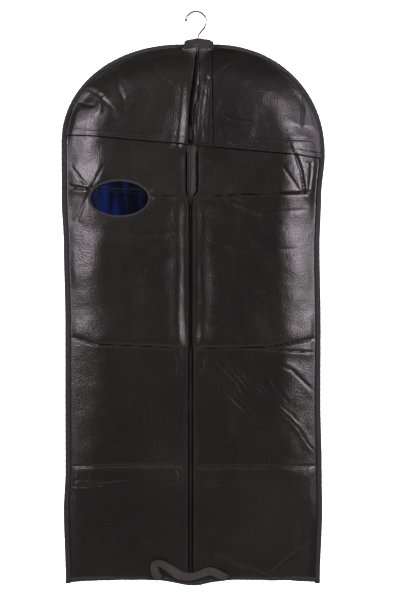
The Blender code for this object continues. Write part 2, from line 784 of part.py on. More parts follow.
pull = boxed(
    "zip_pull",
    (
        (ZIP_X - 0.0024, ZIP_X + 0.0024, PULL_Y - 0.0005, PULL_Y + 0.0005, SLIDER_Z - 0.0005, SLIDER_Z + 0.0005),
        (ZIP_X - 0.0024, ZIP_X - 0.0014, PULL_Y - 0.0005, PULL_Y + 0.0005, SLIDER_Z - 0.0062, SLIDER_Z),
        (ZIP_X + 0.0014, ZIP_X + 0.0024, PULL_Y - 0.0005, PULL_Y + 0.0005, SLIDER_Z - 0.0062, SLIDER_Z),
        (ZIP_X - 0.0026, ZIP_X + 0.0026, PULL_Y - 0.0006, PULL_Y + 0.0006, SLIDER_Z - 0.0270, SLIDER_Z - 0.0048),
    ),
    BLACK_METAL,
    origin=(ZIP_X, PULL_Y, SLIDER_Z),
)
pull.parent = slider
pull.location = (0, PULL_Y - SY, 0)

# ---------------------------------------------------------------- carry handle, a webbing strap sewn into the hem
HANDLE_Z = -1.3185
HANDLE_Y = BIND_FRONT_Y - 0.0034
HANDLE_PATH = ((-0.0830, -1.3165), (-0.0900, -1.3000), (-0.0850, -1.2830), (-0.0640, -1.2830), (-0.0380, -1.2930),
               (-0.0100, -1.2975), (0.0180, -1.2940), (0.0420, -1.2890), (0.0600, -1.2960), (0.0660, -1.3165))


def handle():
    """A flat strap that leaves the hem, lies up on the front and comes back to the hem."""
    fine = []
    for k in range(len(HANDLE_PATH) - 1):
        p0 = HANDLE_PATH[max(k - 1, 0)]
        p1, p2 = HANDLE_PATH[k], HANDLE_PATH[k + 1]
        p3 = HANDLE_PATH[min(k + 2, len(HANDLE_PATH) - 1)]
        for i in range(4):
            t = i / 4
            fine.append(tuple(
                0.5 * (2 * b + (c - a) * t + (2 * a - 5 * b + 4 * c - d) * t * t + (3 * b - a - 3 * c + d) * t ** 3)
                for a, b, c, d in zip(p0, p1, p2, p3)))
    fine.append(HANDLE_PATH[-1])
    verts, faces = [], []
    n = len(fine)
    half = HANDLE_W / 2 * 0.62
    for i, (x, z) in enumerate(fine):
        ax, az = fine[max(i - 1, 0)]
        bx, bz = fine[min(i + 1, n - 1)]
        length = math.hypot(bx - ax, bz - az)
        nx, nz = -(bz - az) / length, (bx - ax) / length
        y1 = HANDLE_Y
        y0 = y1 - HANDLE_T
        verts += [(x - nx * half, y0, z - nz * half), (x - nx * half, y1, z - nz * half),
                  (x + nx * half, y1, z + nz * half), (x + nx * half, y0, z + nz * half)]
    for i in range(n - 1):
        a, b = i * 4, (i + 1) * 4
        for j in range(4):
            k = (j + 1) % 4
            faces.append((a + j, a + k, b + k, b + j))
    faces.append((3, 2, 1, 0))
    faces.append(((n - 1) * 4, (n - 1) * 4 + 1, (n - 1) * 4 + 2, (n - 1) * 4 + 3))
    return new_object("carry_handle", verts, faces, WEBBING, False, origin=(0, HANDLE_Y + 0.0004, HANDLE_Z))


handle()
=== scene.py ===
# Looks of the garment bag: cloth, seams, zip, window, strap and hook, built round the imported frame.
import json
import math

import bmesh
import bpy
import numpy as np
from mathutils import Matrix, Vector, noise

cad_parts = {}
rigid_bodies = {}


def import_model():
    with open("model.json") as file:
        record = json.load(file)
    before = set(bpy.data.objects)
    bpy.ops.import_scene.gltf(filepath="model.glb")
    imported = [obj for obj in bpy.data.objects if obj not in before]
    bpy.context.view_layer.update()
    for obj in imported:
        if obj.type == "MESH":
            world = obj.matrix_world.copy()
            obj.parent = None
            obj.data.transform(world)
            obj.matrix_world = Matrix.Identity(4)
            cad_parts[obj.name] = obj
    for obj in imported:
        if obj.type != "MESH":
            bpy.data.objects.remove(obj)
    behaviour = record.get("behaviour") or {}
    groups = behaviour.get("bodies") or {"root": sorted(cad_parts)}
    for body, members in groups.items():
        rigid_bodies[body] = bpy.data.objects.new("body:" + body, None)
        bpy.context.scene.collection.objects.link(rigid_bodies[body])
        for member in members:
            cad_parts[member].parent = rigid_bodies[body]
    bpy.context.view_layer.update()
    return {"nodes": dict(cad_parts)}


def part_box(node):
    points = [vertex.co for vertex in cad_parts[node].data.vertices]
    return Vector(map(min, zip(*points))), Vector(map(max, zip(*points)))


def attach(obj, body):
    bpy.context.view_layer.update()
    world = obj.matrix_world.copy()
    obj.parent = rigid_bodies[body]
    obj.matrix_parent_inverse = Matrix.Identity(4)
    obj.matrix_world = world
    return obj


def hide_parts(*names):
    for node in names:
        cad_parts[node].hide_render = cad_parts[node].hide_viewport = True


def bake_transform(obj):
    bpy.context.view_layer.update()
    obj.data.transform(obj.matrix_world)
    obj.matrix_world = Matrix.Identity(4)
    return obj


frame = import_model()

# ---------------------------------------------------------------- dimensions, as in the CAD
CLOTH = 0.0010
BACK_Y = 0.0160
EDGE_Y = 0.0120
BIND_W = 0.0105
BIND_FRONT_Y = 0.0092
CHEST_Z, CHEST_T, HEM_T, HEM_LEVEL = -0.260, 0.042, 0.003, -1.310
EDGE_R = 0.090
NECK_X, NECK_HALF, NECK_TOP_Z, NECK_LOW_Z = 0.0060, 0.0365, -0.0620, -0.0755
ARCH_N = 2.08
LEFT_ARCH = (-0.0310, -0.0720, 0.2810, 0.2280)
RIGHT_ARCH = (0.0390, -0.0720, 0.2595, 0.2530)
ZIP_X = -0.0125
YOKE_OUT = 0.0024
FOLD_MIDDLE_Z, FOLD_LOWER_Z = -0.7720, -1.0475
WINDOW_X, WINDOW_Z, WINDOW_A, WINDOW_B = -0.1760, -0.4317, 0.0675, 0.0400
HOOK_WIRE, HOOK_R, STEM_X = 0.0019, 0.0237, 0.0050
SLIDER_Z = -0.2720
HANDLE_Y, HANDLE_Z = BIND_FRONT_Y - 0.0034, -1.3150
SPLIT_Z = -0.9100      # cloth is cut here, in the middle of the middle section
INSET = 0.0120         # the CAD panels stop here; visible cloth runs on under the binding

LEFT_SIDE = ((-0.300, -0.3120), (-0.430, -0.3115), (-0.540, -0.3065), (-0.720, -0.3030),
             (-0.900, -0.3030), (-1.060, -0.3025), (-1.150, -0.3065), (-1.320, -0.3020))
RIGHT_SIDE = ((-0.325, 0.2985), (-0.430, 0.2900), (-0.540, 0.2865), (-0.720, 0.2890),
              (-0.900, 0.2885), (-1.060, 0.2915), (-1.150, 0.2925), (-1.320, 0.2870))


def lerp(a, b, t):
    return a + (b - a) * t


def smooth(t):
    t = np.clip(t, 0.0, 1.0)
    return t * t * (3 - 2 * t)


def along(table, z):
    if z >= table[0][0]:
        return table[0][1]
    for (z0, x0), (z1, x1) in zip(table, table[1:]):
        if z >= z1:
            t = (z0 - z) / (z0 - z1)
            return x0 + (x1 - x0) * t * t * (3 - 2 * t)
    return table[-1][1]


def side_x(side, z):
    x0, top, half, high = LEFT_ARCH if side < 0 else RIGHT_ARCH
    up = (z - (top - high)) / high
    if up > 0:
        return x0 + side * half * max(0.0, 1 - min(up, 1.0) ** ARCH_N) ** (1 / ARCH_N)
    return along(LEFT_SIDE if side < 0 else RIGHT_SIDE, z)


def arch(side, t, inset=0.0):
    x0, top, half, high = LEFT_ARCH if side < 0 else RIGHT_ARCH
    a, h = half - inset, high - inset
    angle = t * math.pi / 2
    e = 2 / ARCH_N
    return (x0 + side * a * max(0.0, math.cos(angle)) ** e, (top - high) + h * math.sin(angle) ** e)


def seam_z(x):
    return -0.3098 - 0.091 * x


def hem_z(x):
    return -1.3135 - 0.0130 * math.exp(-(((x + 0.008) / 0.050) ** 2)) - 0.006 * abs((x + 0.007) / 0.30) ** 4


def slit_x(z):
    if z <= -0.255:
        return ZIP_X
    t = min(1.0, (z + 0.255) / 0.170)
    return ZIP_X + 0.0165 * t * t * (3 - 2 * t)


def slit_half(z, side):
    """From the zip's line to a folded panel edge: wide open above the chest crease, narrow down to the waist."""
    t = smooth((-0.425 - z) / 0.03) * (1 - smooth((-0.765 - z) / 0.02))
    wide = smooth((z + 0.432) / 0.020)
    return (0.0044 - 0.0019 * t) * (1 - wide) + (0.0092 if side < 0 else 0.0148) * wide


OUTLINE = []
for side in (-1, 1):
    line = [arch(side, 1 - i / 40, INSET) for i in range(41)]
    start = line[-1][1]
    for i in range(1, 31):
        z = start + (-1.330 - start) * i / 30
        line.append((side_x(side, z) - side * INSET, z))
    OUTLINE.append(np.array(line))


def edge_distance(x, z):
    best = np.full(x.shape, 1.0)
    for line in OUTLINE:
        for (ax, az), (bx, bz) in zip(line, line[1:]):
            dx, dz = bx - ax, bz - az
            t = np.clip(((x - ax) * dx + (z - az) * dz) / (dx * dx + dz * dz), 0, 1)
            best = np.minimum(best, np.hypot(x - ax - t * dx, z - az - t * dz))
    return best


def bulge(z):
    return CHEST_T + (HEM_T - CHEST_T) * np.clip((CHEST_Z - z) / (CHEST_Z - HEM_LEVEL), 0, 1.02)


def zip_y(z):
    return EDGE_Y - (CHEST_T + (HEM_T - CHEST_T) * (CHEST_Z - z) / (CHEST_Z - HEM_LEVEL))


# ---------------------------------------------------------------- creases and wrinkles
# (path of (x, z) points, depth in metres, width above, width below, shoulder share above, below)
CREASES = (
    # the three packing folds
    (((-0.3082, -0.4048), (-0.2484, -0.4094), (-0.2208, -0.4094), (-0.1081, -0.4232), (-0.0368, -0.4255)), 0.0026, 0.004, 0.007, 0.8, 1.0),
    (((0.0092, -0.4278), (0.1127, -0.4209), (0.2392, -0.4186), (0.2852, -0.4117)), 0.0026, 0.0045, 0.009, 0.8, 1.0),
    (((-0.3059, -0.7452), (-0.2323, -0.7671), (-0.1472, -0.7705), (-0.0230, -0.7762)), 0.0034, 0.014, 0.006, 1.0, 0.3),
    (((-0.0046, -0.7762), (0.1587, -0.7742), (0.2392, -0.7613), (0.2852, -0.7521)), 0.0036, 0.016, 0.006, 1.0, 0.3),
    (((-0.3082, -1.0499), (-0.1748, -1.0476), (-0.0276, -1.0442)), 0.0024, 0.004, 0.015, 0.15, 1.0),
    (((0.0023, -1.0499), (0.1472, -1.0499), (0.2898, -1.0488)), 0.0028, 0.004, 0.021, 0.15, 1.0),
    # pinch at the left end of the chest crease
    (((-0.3036, -0.3979), (-0.2668, -0.4048), (-0.2415, -0.4094)), 0.0024, 0.004, 0.006, 1.0, 0.6),
    (((-0.2415, -0.4094), (-0.2668, -0.3841), (-0.2898, -0.3542)), 0.0020, 0.006, 0.006, 0.8, 0.6),
    (((-0.2392, -0.4117), (-0.2576, -0.4416), (-0.2760, -0.4853)), 0.0018, 0.006, 0.006, 0.6, 0.8),
    (((-0.2438, -0.4117), (-0.2300, -0.3887), (-0.2116, -0.3542)), 0.0014, 0.006, 0.006, 0.6, 0.6),
    # folds hanging from the right shoulder
    (((0.2277, -0.3312), (0.2415, -0.3657), (0.2507, -0.4163)), 0.0032, 0.010, 0.006, 1.0, 0.5),
    (((0.2668, -0.3427), (0.2645, -0.3795), (0.2599, -0.4163)), 0.0022, 0.006, 0.006, 1.0, 0.7),
    (((0.1978, -0.3565), (0.2208, -0.3887), (0.2392, -0.4163)), 0.0014, 0.007, 0.007, 0.8, 0.5),
    # left shoulder
    (((-0.2668, -0.1679), (-0.2438, -0.1771), (-0.2162, -0.1978)), 0.0034, 0.006, 0.010, 1.0, 0.3),
    (((-0.2806, -0.2001), (-0.2576, -0.2139), (-0.2323, -0.2185)), 0.0022, 0.007, 0.008, 0.4, 0.8),
    (((-0.2208, -0.1978), (-0.1932, -0.2231), (-0.1794, -0.2553)), 0.0012, 0.010, 0.010, 0.7, 0.7),
    (((0.0345, -0.1656), (0.0552, -0.1449), (0.0851, -0.1173)), 0.0016, 0.006, 0.007, 1.0, 0.5),
    (((0.0414, -0.2323), (0.0828, -0.2507), (0.1380, -0.2599)), 0.0010, 0.010, 0.012, 0.8, 0.8),
    (((0.2392, -0.1863), (0.2484, -0.2231), (0.2438, -0.2691)), 0.0018, 0.012, 0.012, 0.8, 0.6),
    (((-0.1748, -0.1403), (-0.1794, -0.1725), (-0.1656, -0.2093)), 0.0014, 0.012, 0.012, 0.7, 0.7),
    (((-0.1058, -0.1127), (-0.0828, -0.1541), (-0.0460, -0.1817)), 0.0012, 0.012, 0.012, 0.7, 0.7),
    (((0.0966, -0.2990), (0.1840, -0.2990), (0.2806, -0.2944)), 0.0013, 0.005, 0.006, 1.0, 0.5),
    # waist, right
    (((0.1518, -0.7774), (0.2162, -0.7820), (0.2806, -0.7866)), 0.0022, 0.004, 0.006, 0.6, 1.0),
    (((0.1886, -0.8142), (0.2208, -0.8257), (0.2438, -0.8487), (0.2829, -0.8866)), 0.0017, 0.007, 0.006, 1.0, 0.6),
    (((0.0391, -0.7981), (0.0667, -0.8234), (0.0966, -0.8556), (0.1173, -0.8947)), 0.0011, 0.004, 0.004, 1.0, 0.8),
    (((0.1127, -0.8579), (0.1495, -0.8843), (0.1863, -0.9108), (0.2047, -0.9292), (0.2346, -0.9591), (0.2576, -0.9948), (0.2829, -1.0258)), 0.0016, 0.0028, 0.0028, 1.0, 0.8),
    (((0.1242, -0.8579), (0.1610, -0.8832), (0.2001, -0.9131), (0.2208, -0.9292), (0.2484, -0.9591)), 0.0013, 0.0028, 0.0028, 0.8, 1.0),
    (((0.0851, -0.8303), (0.1012, -0.8441), (0.1150, -0.8625), (0.1288, -0.8763)), 0.0014, 0.0028, 0.0028, 1.0, 0.8),
    (((0.2300, -0.9499), (0.2484, -0.9729), (0.2668, -0.9959)), 0.0009, 0.0026, 0.0026, 1.0, 0.8),
    (((0.0690, -0.8763), (0.1104, -0.9177), (0.1380, -0.9591)), 0.0008, 0.004, 0.004, 1.0, 0.8),
    (((0.1656, -0.8303), (0.1840, -0.8671), (0.2162, -0.9039)), 0.0010, 0.005, 0.005, 1.0, 0.8),
    # below the lower fold
    (((-0.3059, -1.0959), (-0.2484, -1.0939), (-0.2139, -1.0895), (-0.1495, -1.0840)), 0.0014, 0.004, 0.005, 1.0, 0.6),
    (((-0.2530, -1.0764), (-0.2323, -1.0856), (-0.2093, -1.0948)), 0.0011, 0.004, 0.004, 1.0, 0.6),
    (((-0.3013, -1.0948), (-0.2852, -1.0879), (-0.2668, -1.0764)), 0.0012, 0.004, 0.004, 1.0, 0.6),
    (((0.0046, -1.2213), (0.0138, -1.2259), (0.0230, -1.2316)), 0.0014, 0.0028, 0.003, 0.8, 1.0),
    (((0.0046, -1.2374), (0.0161, -1.2420), (0.0299, -1.2489)), 0.0017, 0.0028, 0.003, 0.8, 1.0),
    (((0.0299, -1.2466), (0.0736, -1.2650), (0.1127, -1.2834), (0.1748, -1.3064)), 0.0016, 0.006, 0.006, 1.0, 0.7),
    (((0.2852, -1.2190), (0.2392, -1.2443), (0.2047, -1.2696), (0.1748, -1.2972)), 0.0016, 0.006, 0.006, 1.0, 0.7),
    (((0.0299, -1.0695), (0.0368, -1.0787), (0.0460, -1.0971)), 0.0016, 0.004, 0.004, 1.0, 0.6),
    (((-0.0460, -1.0511), (-0.0368, -1.0695), (-0.0414, -1.0925)), 0.0016, 0.005, 0.004, 1.0, 0.6),
    (((0.0207, -0.7843), (0.0230, -0.8073), (0.0138, -0.8395)), 0.0012, 0.005, 0.004, 1.0, 0.6),
    (((-0.0460, -0.7843), (-0.0391, -0.8119), (-0.0437, -0.8487)), 0.0012, 0.005, 0.004, 1.0, 0.6),
    (((-0.2208, -0.4991), (-0.1288, -0.5175), (-0.0414, -0.5083)), 0.0009, 0.014, 0.014, 0.8, 0.8),
    (((0.0322, -0.5267), (0.1242, -0.5543), (0.2392, -0.5451)), 0.0009, 0.014, 0.014, 0.8, 0.8),
    (((0.0667, -0.4347), (0.1518, -0.4669), (0.2622, -0.4554)), 0.0009, 0.010, 0.012, 0.8, 0.8),
)

RIDGES = (  # (path, half width, height)
    (((-0.0069, -0.1173), (-0.0184, -0.1817), (-0.0276, -0.2461), (-0.0437, -0.3105)), 0.0130, 0.0058),
    (((-0.0230, -0.1679), (-0.0414, -0.2277), (-0.0644, -0.2967)), 0.0160, 0.0022),
    (((0.0690, -0.2047), (0.0598, -0.2622), (0.0690, -0.3197)), 0.0140, 0.0014),
    (((-0.2852, -0.2277), (-0.2760, -0.2553), (-0.2898, -0.2783)), 0.0150, 0.0030),
    (((-0.2300, -0.1863), (-0.2185, -0.2047), (-0.2208, -0.2323)), 0.0070, 0.0026),
)

DENTS = (  # (centre, radii, depth towards the inside)
    ((-0.2553, -0.1978), (0.026, 0.020), 0.0060),
    ((-0.2622, -0.2553), (0.040, 0.030), -0.0030),
    ((-0.1771, -0.1771), (0.028, 0.036), 0.0022),
    ((0.2392, -0.2231), (0.030, 0.050), 0.0030),
    ((0.1242, -0.2047), (0.055, 0.050), -0.0020),
    ((-0.2484, -0.5842), (0.050, 0.120), -0.0020),
    ((0.2254, -0.5773), (0.060, 0.120), -0.0026),
    ((-0.1978, -0.9062), (0.090, 0.080), 0.0010),
    ((0.2162, -0.8901), (0.060, 0.080), -0.0022),
    ((-0.1748, -1.1937), (0.080, 0.070), -0.0012),
    ((0.1012, -1.1707), (0.080, 0.060), 0.0012),
)


def on_path(path, x, z):
    """Distance to a path, its sign (positive below or right of it) and how far along (0 to 1)."""
    total = sum(math.hypot(b[0] - a[0], b[1] - a[1]) for a, b in zip(path, path[1:]))
    best = np.full(x.shape, 9.0)
    sign = np.ones(x.shape)
    where = np.zeros(x.shape)
    done = 0.0
    for (ax, az), (bx, bz) in zip(path, path[1:]):
        dx, dz = bx - ax, bz - az
        length = math.hypot(dx, dz)
        t = ((x - ax) * dx + (z - az) * dz) / (length * length)
        tc = np.clip(t, 0, 1)
        d = np.hypot(x - ax - tc * dx, z - az - tc * dz)
        near = d < best
        s = np.sign((z - az) * dx - (x - ax) * dz) * (1 if dx >= 0 else -1)
        best = np.where(near, d, best)
        sign = np.where(near, -s, sign)
        where = np.where(near, (done + tc * length) / total, where)
        done += length
    return best, sign, where


def cloth_noise(x, z, scale, seed, stretch=1.0):
    out = np.empty(x.shape)
    flat_x, flat_z = x.ravel() * scale, z.ravel() * scale * stretch
    out_flat = out.ravel()
    for i in range(flat_x.size):
        out_flat[i] = noise.noise(Vector((flat_x[i], flat_z[i], seed)))
    return out_flat.reshape(x.shape)


def wrinkles(x, z):
    """How far the cloth stands out (towards -Y) from its smooth shape."""
    out = np.zeros(x.shape)
    for path, depth, above, below, share_above, share_below in CREASES:
        d, s, w = on_path(path, x, z)
        if d.min() > 0.09:
            continue
        width = np.where(s > 0, below, above)
        share = np.where(s > 0, share_below, share_above)
        fade = smooth(w / 0.12) * smooth((1 - w) / 0.12) if depth < 0.0028 else 1.0
        q = d / width
        out += depth * share * fade * q * np.exp(1 - q) * 0.9
        out -= depth * 0.75 * fade * np.exp(-((d / 0.0028) ** 2))
    for path, width, height in RIDGES:
        d, s, w = on_path(path, x, z)
        out += height * smooth(w / 0.2 + 0.25) * np.exp(-((d / width) ** 2))
    for (cx, cz), (rx, rz), depth in DENTS:
        q = ((x - cx) / rx) ** 2 + ((z - cz) / rz) ** 2
        out -= depth * np.exp(-q)
    out += 0.0042 * cloth_noise(x, z, 9.0, 3.1, 0.7)
    out += 0.00155 * cloth_noise(x, z, 24.0, 7.7)
    out += 0.00036 * cloth_noise(x, z, 70.0, 1.3)
    # soft rolls beside the zip, between the chest and waist creases
    roll = smooth((-0.425 - z) / 0.05) * smooth((z + 0.775) / 0.03)
    out += 0.0033 * roll * np.exp(-(((np.abs(x - ZIP_X) - 0.029) / 0.0170) ** 2))
    return out


def front(x, z, relief=True):
    """Outer face of the front cloth."""
    x, z = np.asarray(x, float), np.asarray(z, float)
    shape = np.broadcast(x, z).shape
    x, z = np.broadcast_to(x, shape), np.broadcast_to(z, shape)
    d = edge_distance(x, z)
    y = EDGE_Y - bulge(z) * np.sin(np.pi / 2 * np.minimum(d / EDGE_R, 1.0))
    if relief:
        keep = smooth(d / 0.016) * smooth((np.abs(x - ZIP_X) - 0.006) / 0.022)
        keep = keep * smooth((z + 1.318) / 0.020)
        keep = keep * (0.35 + 0.65 * smooth((np.hypot((x - WINDOW_X) / WINDOW_A, (z - WINDOW_Z) / WINDOW_B) - 1.0) / 0.25))
        y = y - wrinkles(x, z) * keep
    return y


# ---------------------------------------------------------------- materials
def nodes_of(name):
    m = bpy.data.materials.new(name)
    m.use_nodes = True
    t = m.node_tree
    return m, t, t.nodes["Principled BSDF"]


def link(t, a, b):
    t.links.new(a, b)


def cloth_material(name, dark, light, rough, grain, grain_scale, sheen=0.0, weave=False, patch=4.0):
    """Pressed black cloth: fine grain, soft blotches of shade, worn brighter specks."""
    m, t, bsdf = nodes_of(name)
    co = t.nodes.new("ShaderNodeTexCoord")
    big = t.nodes.new("ShaderNodeTexNoise")
    big.inputs["Scale"].default_value = patch
    big.inputs["Detail"].default_value = 5
    fine = t.nodes.new("ShaderNodeTexNoise")
    fine.inputs["Scale"].default_value = grain_scale
    fine.inputs["Detail"].default_value = 2
    link(t, co.outputs["Object"], big.inputs["Vector"])
    link(t, co.outputs["Object"], fine.inputs["Vector"])
    mix = t.nodes.new("ShaderNodeMath")
    mix.operation = "MULTIPLY_ADD"
    mix.inputs[1].default_value = 0.45
    link(t, fine.outputs["Fac"], mix.inputs[0])
    half = t.nodes.new("ShaderNodeMath")
    half.operation = "MULTIPLY"
    half.inputs[1].default_value = 0.55
    link(t, big.outputs["Fac"], half.inputs[0])
    link(t, half.outputs[0], mix.inputs[2])
    ramp = t.nodes.new("ShaderNodeValToRGB")
    ramp.color_ramp.elements[0].position = 0.34
    ramp.color_ramp.elements[1].position = 0.66
    ramp.color_ramp.elements[0].color = (*dark, 1)
    ramp.color_ramp.elements[1].color = (*light, 1)
    link(t, mix.outputs[0], ramp.inputs["Fac"])
    link(t, ramp.outputs["Color"], bsdf.inputs["Base Color"])
    r = t.nodes.new("ShaderNodeMapRange")
    r.inputs["To Min"].default_value = rough - 0.07
    r.inputs["To Max"].default_value = rough + 0.09
    link(t, mix.outputs[0], r.inputs["Value"])
    link(t, r.outputs["Result"], bsdf.inputs["Roughness"])
    bsdf.inputs["Sheen Weight"].default_value = sheen
    if weave:
        a, b = t.nodes.new("ShaderNodeTexWave"), t.nodes.new("ShaderNodeTexWave")
        a.bands_direction, b.bands_direction = "X", "Z"
        for w in (a, b):
            w.inputs["Scale"].default_value = grain_scale * 0.45
            w.inputs["Distortion"].default_value = 0.6
            link(t, co.outputs["Object"], w.inputs["Vector"])
        high = t.nodes.new("ShaderNodeMath")
        high.operation = "MAXIMUM"
        link(t, a.outputs["Fac"], high.inputs[0])
        link(t, b.outputs["Fac"], high.inputs[1])
        height = high.outputs[0]
    else:
        cell = t.nodes.new("ShaderNodeTexVoronoi")
        cell.inputs["Scale"].default_value = grain_scale * 0.8
        link(t, co.outputs["Object"], cell.inputs["Vector"])
        add = t.nodes.new("ShaderNodeMath")
        add.operation = "ADD"
        link(t, cell.outputs["Distance"], add.inputs[0])
        link(t, fine.outputs["Fac"], add.inputs[1])
        height = add.outputs[0]
    bump = t.nodes.new("ShaderNodeBump")
    bump.inputs["Strength"].default_value = grain
    bump.inputs["Distance"].default_value = 0.00055
    link(t, height, bump.inputs["Height"])
    link(t, bump.outputs["Normal"], bsdf.inputs["Normal"])
    return m


SHELL = cloth_material("black_pressed_cloth", (0.0004, 0.0003, 0.0001), (0.0098, 0.0086, 0.0052), 0.375, 0.72, 400.0, 0.0)
YOKE = cloth_material("black_yoke_cloth", (0.0005, 0.0004, 0.0003), (0.0094, 0.0085, 0.0064), 0.385, 0.72, 400.0, 0.0)
BACKING = cloth_material("black_back_cloth", (0.0030, 0.0027, 0.0023), (0.0080, 0.0073, 0.0066), 0.42, 0.6, 420.0, 0.0)
BIND = cloth_material("black_binding_tape", (0.004, 0.004, 0.004), (0.012, 0.011, 0.0115), 0.62, 0.8, 650.0, 0.04, weave=True)
TAPE = cloth_material("black_zip_tape", (0.014, 0.013, 0.0125), (0.052, 0.049, 0.047), 0.66, 0.8, 900.0, 0.03, weave=True)
WEB = cloth_material("charcoal_webbing", (0.010, 0.0085, 0.0075), (0.046, 0.039, 0.034), 0.66, 1.0, 330.0, 0.05, weave=True)
THREAD = cloth_material("black_thread", (0.010, 0.010, 0.010), (0.050, 0.048, 0.050), 0.50, 0.5, 1500.0, 0.05)
COIL = cloth_material("black_nylon_coil", (0.006, 0.006, 0.006), (0.016, 0.016, 0.017), 0.33, 0.2, 900.0)


def metal_material(name, colour, metallic, low, high):
    m, t, bsdf = nodes_of(name)
    co = t.nodes.new("ShaderNodeTexCoord")
    n = t.nodes.new("ShaderNodeTexNoise")
    n.inputs["Scale"].default_value = 260
    n.inputs["Detail"].default_value = 4
    link(t, co.outputs["Object"], n.inputs["Vector"])
    r = t.nodes.new("ShaderNodeMapRange")
    r.inputs["To Min"].default_value = low
    r.inputs["To Max"].default_value = high
    link(t, n.outputs["Fac"], r.inputs["Value"])
    link(t, r.outputs["Result"], bsdf.inputs["Roughness"])
    ramp = t.nodes.new("ShaderNodeValToRGB")
    ramp.color_ramp.elements[0].color = (*[c * 0.82 for c in colour], 1)
    ramp.color_ramp.elements[1].color = (*colour, 1)
    link(t, n.outputs["Fac"], ramp.inputs["Fac"])
    link(t, ramp.outputs["Color"], bsdf.inputs["Base Color"])
    bsdf.inputs["Metallic"].default_value = metallic
    return m


CHROME = metal_material("hook_chrome", (0.20, 0.20, 0.21), 1.0, 0.14, 0.26)
BLACK_METAL = metal_material("black_slider_enamel", (0.03, 0.03, 0.032), 0.7, 0.25, 0.42)


def wood_material():
    m, t, bsdf = nodes_of("hanger_beech")
    co = t.nodes.new("ShaderNodeTexCoord")
    w = t.nodes.new("ShaderNodeTexWave")
    w.bands_direction = "Z"
    w.inputs["Scale"].default_value = 45
    w.inputs["Distortion"].default_value = 5
    w.inputs["Detail"].default_value = 3
    link(t, co.outputs["Object"], w.inputs["Vector"])
    ramp = t.nodes.new("ShaderNodeValToRGB")
    ramp.color_ramp.elements[0].color = (0.20, 0.105, 0.045, 1)
    ramp.color_ramp.elements[1].color = (0.40, 0.235, 0.115, 1)
    link(t, w.outputs["Fac"], ramp.inputs["Fac"])
    link(t, ramp.outputs["Color"], bsdf.inputs["Base Color"])
    bump = t.nodes.new("ShaderNodeBump")
    bump.inputs["Strength"].default_value = 0.15
    bump.inputs["Distance"].default_value = 0.0005
    link(t, w.outputs["Fac"], bump.inputs["Height"])
    link(t, bump.outputs["Normal"], bsdf.inputs["Normal"])
    bsdf.inputs["Roughness"].default_value = 0.4
    return m


WOOD = wood_material()


def film_material():
    """Clear film over a dark lining: deep blue, with painted highlights as soft upright bands and painted light towards
    the side seam.
    """
    m, t, bsdf = nodes_of("window_blue_film")
    co = t.nodes.new("ShaderNodeTexCoord")
    split = t.nodes.new("ShaderNodeSeparateXYZ")
    link(t, co.outputs["Object"], split.inputs[0])
    # painted highlights: noise stretched across X paints soft upright light bands into the film's colour
    n = t.nodes.new("ShaderNodeTexNoise")
    n.inputs["Scale"].default_value = 1.0
    n.inputs["Detail"].default_value = 3
    comb = t.nodes.new("ShaderNodeCombineXYZ")
    sx, sz = t.nodes.new("ShaderNodeMath"), t.nodes.new("ShaderNodeMath")
    sx.operation = sz.operation = "MULTIPLY"
    sx.inputs[1].default_value, sz.inputs[1].default_value = 45.0, 7.0
    link(t, split.outputs["X"], sx.inputs[0])
    link(t, split.outputs["Z"], sz.inputs[0])
    link(t, sx.outputs[0], comb.inputs["X"])
    link(t, sz.outputs[0], comb.inputs["Z"])
    link(t, comb.outputs[0], n.inputs["Vector"])
    # painted light: the colour is made lighter towards the side seam, as if lit from that side
    painted_side_light = t.nodes.new("ShaderNodeMapRange")   # lighter towards the side seam
    painted_side_light.inputs["From Min"].default_value = WINDOW_X - WINDOW_A
    painted_side_light.inputs["From Max"].default_value = WINDOW_X + WINDOW_A
    painted_side_light.inputs["To Min"].default_value = 0.02
    painted_side_light.inputs["To Max"].default_value = -0.20
    link(t, split.outputs["X"], painted_side_light.inputs["Value"])
    add = t.nodes.new("ShaderNodeMath")
    add.operation = "ADD"
    link(t, n.outputs["Fac"], add.inputs[0])
    link(t, painted_side_light.outputs["Result"], add.inputs[1])
    ramp = t.nodes.new("ShaderNodeValToRGB")
    ramp.color_ramp.elements[0].position = 0.34
    ramp.color_ramp.elements[1].position = 0.78
    ramp.color_ramp.elements[0].color = (0.0008, 0.0012, 0.0050, 1)
    ramp.color_ramp.elements[1].color = (0.0045, 0.0150, 0.075, 1)
    link(t, add.outputs[0], ramp.inputs["Fac"])
    link(t, ramp.outputs["Color"], bsdf.inputs["Base Color"])
    bsdf.inputs["Roughness"].default_value = 0.20
    bsdf.inputs["Specular IOR Level"].default_value = 0.30
    return m


FILM = film_material()


# ---------------------------------------------------------------- mesh building
def add_mesh(name, verts, faces, mat, smooth_on=True, angle=50):
    mesh = bpy.data.meshes.new(name)
    mesh.from_pydata([tuple(map(float, v)) for v in verts], [], faces)
    bm = bmesh.new()
    bm.from_mesh(mesh)
    bmesh.ops.recalc_face_normals(bm, faces=bm.faces)
    if bm.calc_volume(signed=True) < 0:
        bmesh.ops.reverse_faces(bm, faces=bm.faces)
    bm.to_mesh(mesh)
    bm.free()
    if smooth_on:
        mesh.shade_smooth()
        mesh.set_sharp_from_angle(angle=math.radians(angle))
    mesh.materials.append(mat)
    o = bpy.data.objects.new(name, mesh)
    bpy.context.scene.collection.objects.link(o)
    return o


